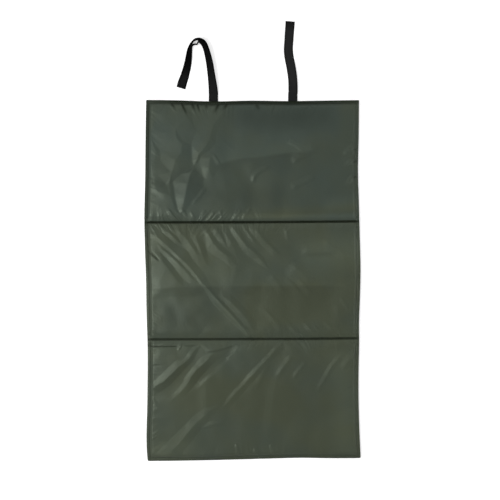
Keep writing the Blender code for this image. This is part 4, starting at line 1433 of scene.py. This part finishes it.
def add_cloth(name, parts, material):
    """One piece from one or more closed cloths: (points, faces, normals) each."""
    points, faces, normals = (np.concatenate(column) for column in zip(*parts))
    piece = shaded(add_piece(name, points, faces, material), points)
    piece.data.normals_split_custom_set_from_vertices(normals.tolist())
    return piece


def cloth_part(cloth, rows, thickness, facing, first=0):
    """The closed cloth of some rows of a cover."""
    points, normals = cloth[1:]
    return cloth_shell(points[rows], normals[rows], thickness, facing, first)


def cover_rows(plan, number):
    """The rows of one panel's cover, which stops a little way from its folds."""
    start = plan.row(number, FOLD_REACH) if number else 0
    end = plan.row(number + 1, -FOLD_REACH) if number < LAST_PANEL else len(plan.along) - 1
    return slice(start, end + 1)


def press_with_fold(piece, number, creasing):
    """Gives a piece its own copy of its mesh, unless it belongs to the top panel; nothing is pressed."""
    if number == LAST_PANEL:
        return
    plan, points, _ = upper_cloth(creasing)
    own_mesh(piece)


class MAT_OT_covers(bpy.types.Operator):
    """Make the three upper and three lower covers, with their creases"""

    bl_idname = "mat.covers"
    bl_label = "Covers"

    def execute(self, context):
        sizes = context.scene.mat_sizes
        for number, panel in enumerate(PANELS):
            for side, cloth, facing in (("upper", upper_cloth, 1), ("lower", lower_cloth, -1)):
                laid = cloth(sizes.creasing)
                rows = cover_rows(laid[0], number)
                slot = side + "_nylon"
                part = cloth_part(laid, rows, sizes.cloth, facing)
                piece = add_cloth(f"{panel}_{side}_skin", [part], finish(slot))
                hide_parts(f"{panel}_{side}_cover")
                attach(piece, f"{panel}_panel")
                if side == "upper":
                    press_with_fold(piece, number, sizes.creasing)
        return {"FINISHED"}


class MAT_OT_folds(bpy.types.Operator):
    """Make the two sewn folds"""

    bl_idname = "mat.folds"
    bl_label = "Folds"

    def execute(self, context):
        sizes = context.scene.mat_sizes
        for level, name in FOLDS:
            parts = []
            first = 0
            for cloth, facing in ((upper_cloth, 1), (lower_cloth, -1)):
                laid = cloth(sizes.creasing)
                rows = slice(laid[0].row(level, -FOLD_REACH), laid[0].row(level, FOLD_REACH) + 1)
                parts.append(cloth_part(laid, rows, sizes.cloth, facing, first))
                first += len(parts[-1][0])
            piece = add_cloth(name + "_cloth", parts, finish("upper_nylon"))
            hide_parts(name)
            bend_with(piece)
        return {"FINISHED"}


def bend_with(piece):
    """Bakes a piece's place into its mesh; it does not bend with the panels at its fold."""
    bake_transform(piece)


class MAT_OT_foam(bpy.types.Operator):
    """Make the three foam slabs inside the covers"""

    bl_idname = "mat.foam"
    bl_label = "Foam"

    def execute(self, context):
        plan = Plan(FOAM_STEP)
        for number, panel in enumerate(PANELS):
            rows = cover_rows(plan, number)
            start = rows.start + (0 if number else FOAM_TRIM)
            end = rows.stop - (0 if number < LAST_PANEL else FOAM_TRIM)
            cut = (slice(start, end), slice(FOAM_TRIM, -FOAM_TRIM))
            swell = plan.swell()[cut]
            top = SEAM_HEIGHT + FLANGE_TOP + SWELL * swell + plan.crown()[cut] - FOAM_CLEARANCE
            bottom = SEAM_HEIGHT - FLANGE_TOP - SWELL * swell + FOAM_CLEARANCE
            top = np.maximum(top - SWELL_HEIGHT * swell, bottom + FOAM_CLEARANCE)
            upper = np.stack([plan.x[cut], plan.y[cut], top], 2)
            lower = np.stack([plan.x[cut], plan.y[cut], bottom], 2)
            numbers = np.arange(top.size).reshape(top.shape)
            faces = [quads(numbers), quads(numbers + top.size)[:, ::-1], rim(numbers, top.size)]
            points = np.concatenate([upper.reshape(-1, 3), lower.reshape(-1, 3)])
            piece = add_piece(f"{panel}_foam_slab", points, np.concatenate(faces), finish("foam"))
            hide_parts(f"{panel}_foam")
            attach(piece, f"{panel}_panel")
            press_with_fold(piece, number, context.scene.mat_sizes.creasing)
        return {"FINISHED"}


def swept(rings):
    """Points and faces of a closed tube through rings of points, with flat ends."""
    count, sides = rings.shape[:2]
    numbers = np.arange(count * sides).reshape(count, sides)
    around = np.concatenate([numbers, numbers[:, :1]], 1)
    faces = [list(face) for face in quads(around)]
    faces += [list(numbers[0][::-1]), list(numbers[-1])]
    points = rings.reshape(-1, 3)
    a, b, c = (points[[face[corner] for face in faces]] for corner in (0, 1, 2))
    if (a * np.cross(b, c)).sum() < 0:
        faces = [face[::-1] for face in faces]
    return points, faces


def side_pairs(points, inwards, low, high):
    """Outer and inner points of the binding up one side, between two heights."""
    y = np.linspace(low, high, max(2, round((high - low) / HEM_STEP)) + 1)
    x = side_line(points, y)
    return np.stack([x, y, x + inwards * BINDING_WIDTH, y], 1)


def both_sides(low, high):
    """The binding up the left side and up the right, between two heights."""
    return side_pairs(LEFT_SIDE, 1, low, high), side_pairs(RIGHT_SIDE, -1, low, high)


def fold_span(level):
    """The heights between which a fold's own cloth lies."""
    return LEVELS[level] - FOLD_REACH, LEVELS[level] + FOLD_REACH


def corner_pairs(side, end, radius):
    """Outer and inner points of the binding round a corner, from the side to the end."""
    line, level = (RIGHT_SIDE if side > 0 else LEFT_SIDE), (TOP_LINE if end > 0 else BOTTOM_LINE)
    y = level_line(level, side * MAT_WIDTH / 2)
    x = side_line(line, y)
    pairs = []
    for angle in np.linspace(0, math.pi / 2, CORNER_STEPS + 1):
        pair = []
        for inset, bend in ((radius, radius), (BINDING_WIDTH + INNER_CORNER_RADIUS, INNER_CORNER_RADIUS)):
            pair.append(x - side * inset + side * math.cos(angle) * bend)
            pair.append(y - end * inset + end * math.sin(angle) * bend)
        pairs.append(pair)
    return np.array(pairs)


def end_pairs(end):
    """Outer and inner points of the binding along the top or bottom edge, left to right."""
    inset = BINDING_WIDTH + INNER_CORNER_RADIUS + HEM_STEP
    reach = MAT_WIDTH / 2 - inset
    x = np.linspace(-reach, reach, round(2 * reach / HEM_STEP) + 1)
    y = level_line(TOP_LINE if end > 0 else BOTTOM_LINE, x)
    return np.stack([x, y, x, y - end * BINDING_WIDTH], 1)


def binding_path(end):
    """The binding round the top panel (end 1) or the bottom one (end -1), from left to right."""
    if end > 0:
        fold, edge, radius = TOP_FOLD, TOP_EDGE, TOP_CORNER_RADIUS
    else:
        fold, edge, radius = BOTTOM_FOLD, BOTTOM_EDGE, BOTTOM_CORNER_RADIUS
    corner = edge - end * (BINDING_WIDTH + INNER_CORNER_RADIUS + HEM_STEP)
    left, right = both_sides(*sorted((fold + end * FOLD_REACH, corner)))
    corners = [corner_pairs(side, end, radius) for side in (-1, 1)]
    return np.concatenate([left[::end], corners[0], end_pairs(end), corners[1][::-1], right[::-end]])


def run_of(path):
    """The distance along a path of pairs, by its outer points."""
    return np.concatenate([[0], np.cumsum(np.hypot(*np.diff(path[:, :2], axis=0).T))])


def hem(path, seed):
    """Points and faces of a binding along a path of outer and inner points."""
    upper, inside = np.array(HEM_SECTION), np.array(HEM_INSIDE)
    section = np.concatenate([upper, upper[::-1] * (1, -1), inside[::-1] * (1, -1), inside])
    run = run_of(path)
    cockle = HEM_COCKLE * ripple(run / HEM_COCKLE_SPACING * 2, seed)
    share = section[:, 0] / BINDING_WIDTH
    outer, inner = path[:, None, :2], path[:, None, 2:]
    plan = outer + (inner - outer) * share[None, :, None]
    free = smooth((share - HEM_COCKLE_START) / HEM_COCKLE_FADE)
    height = SEAM_HEIGHT + section[:, 1] + cockle[:, None] * free * np.sign(section[:, 1])
    return swept(np.concatenate([plan, np.broadcast_to(height, plan.shape[:2])[:, :, None]], 2))


def add_hem(name, paths, seed):
    """A binding piece from one or more paths."""
    points, faces = [], []
    for number, path in enumerate(paths):
        made = hem(path, seed + number)
        first = sum(len(part) for part in points)
        points.append(made[0])
        faces += [[corner + first for corner in face] for face in made[1]]
    points = np.concatenate(points)
    return shaded(add_piece(name, points, faces, finish("upper_nylon")), points)


class MAT_OT_binding(bpy.types.Operator):
    """Make the binding, panel by panel, and its lengths at the folds"""

    bl_idname = "mat.binding"
    bl_label = "Binding"

    def execute(self, context):
        for panel, end in END_PANELS:
            piece = add_hem(f"{panel}_edge_binding", [binding_path(end)], END_BINDING_SEEDS[panel])
            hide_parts(f"{panel}_binding")
            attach(piece, f"{panel}_panel")
        sides = zip(("left", "right"), both_sides(*MIDDLE_SPAN), MIDDLE_BINDING_SEEDS)
        for side, path, seed in sides:
            piece = add_hem(f"middle_{side}_edge_binding", [path], seed)
            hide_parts(f"middle_{side}_binding")
            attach(piece, "middle_panel")
        for level, name in FOLDS:
            paths = both_sides(*fold_span(level))
            bend_with(add_hem(f"{name}_binding", paths, FOLD_BINDING_SEED + level))
        return {"FINISHED"}


def both_faces(x, y, bed):
    """A row of stitches on the upper face and one on the lower: places, directions and height."""
    way = np.gradient(np.stack([x, y], 1), axis=0)
    height = bed + STITCH_RADIUS / 2
    return [(x, y, way, SEAM_HEIGHT + height), (x, y, way, SEAM_HEIGHT - height)]


def binding_stitches(paths, pitch):
    """The stitches on both faces of the binding along some paths."""
    rows = []
    for path in paths:
        run = run_of(path)
        at = np.arange(pitch / 2, run[-1], pitch)
        line = path[:, :2] + (path[:, 2:] - path[:, :2]) * STITCH_INSET / BINDING_WIDTH
        x, y = np.interp(at, run, line[:, 0]), np.interp(at, run, line[:, 1])
        rows += both_faces(x, y, STITCH_BED)
    return rows


def fold_stitches(level, pitch):
    """The stitches in a fold's groove, above and below."""
    reach = MAT_WIDTH / 2 - BINDING_WIDTH - pitch
    x = np.arange(-reach, reach, pitch)
    return both_faces(x, level_line(LEVEL_LINES[level], x), FLANGE_TOP)


def add_stitches(name, rows):
    """One mesh of many stitches, each a short rounded length of thread."""
    rounds = np.linspace(0, 2 * math.pi, STITCH_SIDES, endpoint=False)
    points, faces = [], []
    for x, y, way, height in rows:
        for place_x, place_y, (way_x, way_y) in zip(x, y, way):
            length = math.hypot(way_x, way_y)
            along = np.array((way_x / length, way_y / length, 0))
            across = np.array((-along[1], along[0], 0))
            centre = np.array((place_x, place_y, height))
            ring = np.cos(rounds)[:, None] * across + np.sin(rounds)[:, None] * [0, 0, 1]
            rings = [
                centre + along * share * STITCH_LENGTH + size * STITCH_RADIUS * ring
                for share, size in STITCH_RINGS
            ]
            made = swept(np.array(rings))
            first = STITCH_SIDES * len(STITCH_RINGS) * len(points)
            points.append(made[0])
            faces += [[corner + first for corner in face] for face in made[1]]
    return add_piece(name, np.concatenate(points), faces, finish("thread"))


class MAT_OT_stitches(bpy.types.Operator):
    """Make the stitches along the binding and in the folds"""

    bl_idname = "mat.stitches"
    bl_label = "Stitches"

    def execute(self, context):
        pitch = context.scene.mat_sizes.stitch_pitch
        for panel, end in END_PANELS:
            rows = binding_stitches([binding_path(end)], pitch)
            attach(add_stitches(f"{panel}_stitches", rows), f"{panel}_panel")
        rows = binding_stitches(both_sides(*MIDDLE_SPAN), pitch)
        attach(add_stitches("middle_stitches", rows), "middle_panel")
        for level, name in FOLDS:
            rows = binding_stitches(both_sides(*fold_span(level)), pitch) + fold_stitches(level, pitch)
            bend_with(add_stitches(f"{name}_stitches", rows))
        return {"FINISHED"}


class StrapRoute:
    """The way a strap lies, from under the binding to its tip."""

    def __init__(self, hinge, length, shares, strap_light_and_shade):
        self.hinge = hinge
        self.length = length
        self.strap_light_and_shade = strap_light_and_shade
        at = np.linspace(0, len(shares) - 1, ROUTE_STEPS + 1)
        shares = np.array(shares)
        number = np.arange(len(shares), dtype=float)
        columns = (np.stack([number, column], 1) for column in shares.T)
        self.x, self.y, self.roll = (through(column, at) for column in columns)
        places = np.concatenate([[0], np.cumsum(np.hypot(np.diff(self.x), np.diff(self.y)))])
        self.scale = length / places[-1]
        self.places = places * self.scale

    def lie(self, distance):
        """Centres and rolls of the webbing at distances from the hinge."""
        at = np.clip(distance, 0, self.length)
        x = self.hinge.x + np.interp(at, self.places, self.x) * self.scale
        y = self.hinge.y + np.interp(at, self.places, self.y) * self.scale + np.minimum(distance, 0)
        roll = np.interp(at, self.places, self.roll) * math.pi / 2
        contact = abs(np.sin(roll)) * WEBBING_WIDTH / 2 + np.cos(roll) * WEBBING_THICKNESS / 2
        droop = (np.cos(math.pi * np.clip(at / STRAP_DROOP_LENGTH, 0, 1)) + 1) / 2
        height = contact + (self.hinge.z - WEBBING_THICKNESS) * droop
        return np.stack([x, y, height], 1), roll

    def axes(self, distance):
        """Centres, directions to the right edge and directions out of the upper face."""
        centre, roll = self.lie(distance)
        heading = self.lie(distance + MM)[0] - self.lie(distance - MM)[0]
        heading /= np.linalg.norm(heading, axis=1, keepdims=True)
        level = np.cross(heading, (0, 0, 1))
        level /= np.linalg.norm(level, axis=1, keepdims=True)
        right = level * np.cos(roll)[:, None] + np.cross(level, heading) * np.sin(roll)[:, None]
        return centre, right, np.cross(right, heading)


def strip_section(width, thickness):
    """Half-round edges and flat faces: (across, out) round a strip."""
    half, radius = width / 2, thickness / 2
    across = list(np.linspace(-half + radius, half - radius, STRAP_COLUMNS))
    top = [(place, radius) for place in across]
    turn = [math.pi / 2 - step * math.pi / 4 for step in (1, 2, 3)]
    right = [(half - radius + radius * math.cos(angle), radius * math.sin(angle)) for angle in turn]
    bottom = [(place, -radius) for place in across[::-1]]
    left = [(-x, z) for x, z in right[::-1]]
    return np.array(top + right + bottom + left)


def add_strip(name, route, distances, width, thickness, lift):
    """A woven strip along a route, lifted off it by a distance at each station."""
    centre, right, out = route.axes(distances)
    section = strip_section(width, thickness)
    middle = centre + out * lift[:, None]
    rings = middle[:, None] + right[:, None] * section[None, :, :1] + out[:, None] * section[None, :, 1:]
    points, faces = swept(rings)
    piece = add_piece(name, points, faces, finish("webbing"))
    chart = np.stack([np.tile(section[:, 0], len(distances)), np.repeat(distances, len(section))], 1)
    corners = np.zeros(len(piece.data.loops), np.int32)
    piece.data.loops.foreach_get("vertex_index", corners)
    laid = piece.data.uv_layers.new(name="strap")
    laid.data.foreach_set("uv", chart[corners].astype(np.float32).ravel())
    # painted light and shade along the strap
    painted_along = np.interp(chart[:, 1] / route.length, *np.array(route.strap_light_and_shade).T)
    # painted shade: the selvedges are darker, from a quarter of the width out, as if the edges curved down
    selvedge_shade = 1 - (1 - SELVEDGE_PAINTED_SHADE) * smooth(abs(chart[:, 0]) / width * 4 - 1)
    mark_points(piece, tone=painted_along * selvedge_shade)
    return piece


class MAT_OT_straps(bpy.types.Operator):
    """Make the two webbing straps, whole from their sewn ends to their tips"""

    bl_idname = "mat.straps"
    bl_label = "Straps"

    def execute(self, context):
        straps = (
            ("left", LEFT_STRAP_LENGTH, LEFT_STRAP_SHARES, LEFT_STRAP_LIGHT_AND_SHADE),
            ("right", RIGHT_STRAP_LENGTH, RIGHT_STRAP_SHARES, RIGHT_STRAP_LIGHT_AND_SHADE),
        )
        for side, length, shares, strap_light_and_shade in straps:
            hinge = HINGES[side + "_strap_swing"]
            route = StrapRoute(hinge, length, shares, strap_light_and_shade)
            start = TOP_EDGE - STRAP_SEWN_LENGTH - hinge.y
            distances = np.linspace(start, length, round((length - start) / WEBBING_STEP) + 1)
            flat = 0 * distances
            piece = add_strip(side + "_webbing", route, distances, WEBBING_WIDTH, WEBBING_THICKNESS, flat)
            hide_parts(side + "_strap_root", side + "_strap")
            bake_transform(piece)
            if side == "left":
                self.add_tape(route)
        return {"FINISHED"}

    def add_tape(self, route):
        """The second ply, which stands off the webbing where it bends."""
        end = route.length - TAPE_END_MARGIN
        distances = np.linspace(end - TAPE_LENGTH, end, round(TAPE_LENGTH / WEBBING_STEP) + 1)
        share = np.clip((distances - TAPE_BUCKLE_SHARE * route.length) / TAPE_BUCKLE_LENGTH, -0.5, 0.5)
        flat = WEBBING_THICKNESS / 2 + LAYER_GAP + TAPE_THICKNESS / 2
        lift = flat + TAPE_BUCKLE * np.cos(math.pi * share) ** 2
        piece = add_strip("left_webbing_ply", route, distances, TAPE_WIDTH, TAPE_THICKNESS, lift)
        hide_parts("left_strap_tape")
        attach(piece, "left_strap")


class MAT_OT_stage(bpy.types.Operator):
    """Make the floor, the soft studio lamps and the camera"""

    bl_idname = "mat.stage"
    bl_label = "Stage"

    def execute(self, context):
        stage = context.scene.mat_stage
        self.add_floor(stage)
        self.set_world(stage)
        for name, place, side, power in LAMPS:
            self.add_lamp(name, place, side, getattr(stage, power))
        self.add_camera()
        context.scene.view_settings.view_transform = "Standard"
        return {"FINISHED"}

    def add_floor(self, stage):
        """A wide pale floor, white to the camera but for the object's shadow."""
        mesh = bpy.data.meshes.new("Floor")
        ways = ((-1, -1), (1, -1), (1, 1), (-1, 1))
        corners = [(x * FLOOR_REACH, y * FLOOR_REACH, -FLOOR_DEPTH) for x, y in ways]
        mesh.from_pydata(corners, [], [(0, 1, 2, 3)])
        floor = bpy.data.objects.new("Floor", mesh)
        bpy.context.scene.collection.objects.link(floor)
        material = bpy.data.materials.new("Pale floor")
        material.use_nodes = True
        tree = material.node_tree
        tree.nodes.clear()
        matt = add_node(tree, "ShaderNodeBsdfDiffuse", {"Color": rgba(stage.floor)})
        seen = add_node(tree, "ShaderNodeLightPath").outputs["Is Camera Ray"]
        glow = add_node(tree, "ShaderNodeMath", {0: seen, 1: FLOOR_GLOW}, operation="MULTIPLY")
        lift = add_node(tree, "ShaderNodeEmission", {"Strength": glow.outputs[0]})
        both = add_node(tree, "ShaderNodeAddShader", {0: matt.outputs[0], 1: lift.outputs[0]})
        add_node(tree, "ShaderNodeOutputMaterial", {"Surface": both.outputs[0]})
        mesh.materials.append(material)

    def set_world(self, stage):
        """Soft light from all round, dimmer overhead, and white behind the floor."""
        world = bpy.data.worlds.new("Studio")
        world.use_nodes = True
        tree = world.node_tree
        tree.nodes.clear()
        direction = add_node(tree, "ShaderNodeTexCoord").outputs["Generated"]
        up = add_node(tree, "ShaderNodeSeparateXYZ", {0: direction}).outputs["Z"]
        level = add_node(
            tree, "ShaderNodeMapRange",
            {"Value": up, "From Min": 0, "From Max": 1, "To Min": 1, "To Max": stage.overhead},
        )
        seen = add_node(tree, "ShaderNodeLightPath").outputs["Is Camera Ray"]
        strength = add_node(tree, "ShaderNodeMath", {0: level.outputs[0], 1: seen}, operation="MAXIMUM")
        glow = add_node(tree, "ShaderNodeBackground", {"Strength": strength.outputs[0]})
        add_node(tree, "ShaderNodeOutputWorld", {"Surface": glow.outputs[0]})
        bpy.context.scene.world = world

    def add_lamp(self, name, place, side, power):
        """A square soft box that faces the middle of the mat."""
        lamp = bpy.data.lights.new(name, "AREA")
        lamp.size = side
        lamp.energy = power
        box = bpy.data.objects.new(name, lamp)
        box.location = place
        box.rotation_euler = (-Vector(place)).to_track_quat("-Z", "Y").to_euler()
        bpy.context.scene.collection.objects.link(box)

    def add_camera(self):
        """Straight down, as the photograph is taken."""
        camera = bpy.data.cameras.new("Camera")
        camera.lens = camera.sensor_width * CAMERA_HEIGHT / (PHOTO_SIDE * PIXEL)
        seat = bpy.data.objects.new("Camera", camera)
        middle = spot(PHOTO_SIDE / 2, PHOTO_SIDE / 2)
        seat.location = (*middle, CAMERA_HEIGHT + SEAM_HEIGHT)
        bpy.context.scene.collection.objects.link(seat)
        bpy.context.scene.camera = seat


OPERATORS = (
    MAT_OT_stage, MAT_OT_covers, MAT_OT_folds, MAT_OT_foam, MAT_OT_binding, MAT_OT_stitches, MAT_OT_straps,
)


class MAT_PT_panel(bpy.types.Panel):
    """The mat's sizes, colours and pieces, in the 3D view's sidebar"""

    bl_label = "Unhooking Mat"
    bl_idname = "MAT_PT_panel"
    bl_space_type = "VIEW_3D"
    bl_region_type = "UI"
    bl_category = "Unhooking Mat"

    def draw(self, context):
        for group in (context.scene.mat_sizes, context.scene.mat_colours, context.scene.mat_stage):
            box = self.layout.box()
            for name in group.__annotations__:
                box.prop(group, name)
        for operator in OPERATORS:
            self.layout.operator(operator.bl_idname)


GROUPS = (("mat_sizes", MatSizes), ("mat_colours", MatColours), ("mat_stage", MatStage))


def register():
    """Registers the classes and the scene's properties."""
    for name, group in GROUPS:
        bpy.utils.register_class(group)
        setattr(bpy.types.Scene, name, PointerProperty(type=group))
    for kind in (*OPERATORS, MAT_PT_panel):
        bpy.utils.register_class(kind)


def unregister():
    """Takes the classes and the scene's properties away again."""
    for kind in (MAT_PT_panel, *OPERATORS[::-1]):
        bpy.utils.unregister_class(kind)
    for name, group in GROUPS[::-1]:
        delattr(bpy.types.Scene, name)
        bpy.utils.unregister_class(group)


def main():
    """Makes the stage and every piece."""
    register()
    bpy.ops.mat.stage()
    bpy.ops.mat.covers()
    bpy.ops.mat.folds()
    bpy.ops.mat.foam()
    bpy.ops.mat.binding()
    bpy.ops.mat.stitches()
    bpy.ops.mat.straps()


if __name__ == "__main__":
    main()
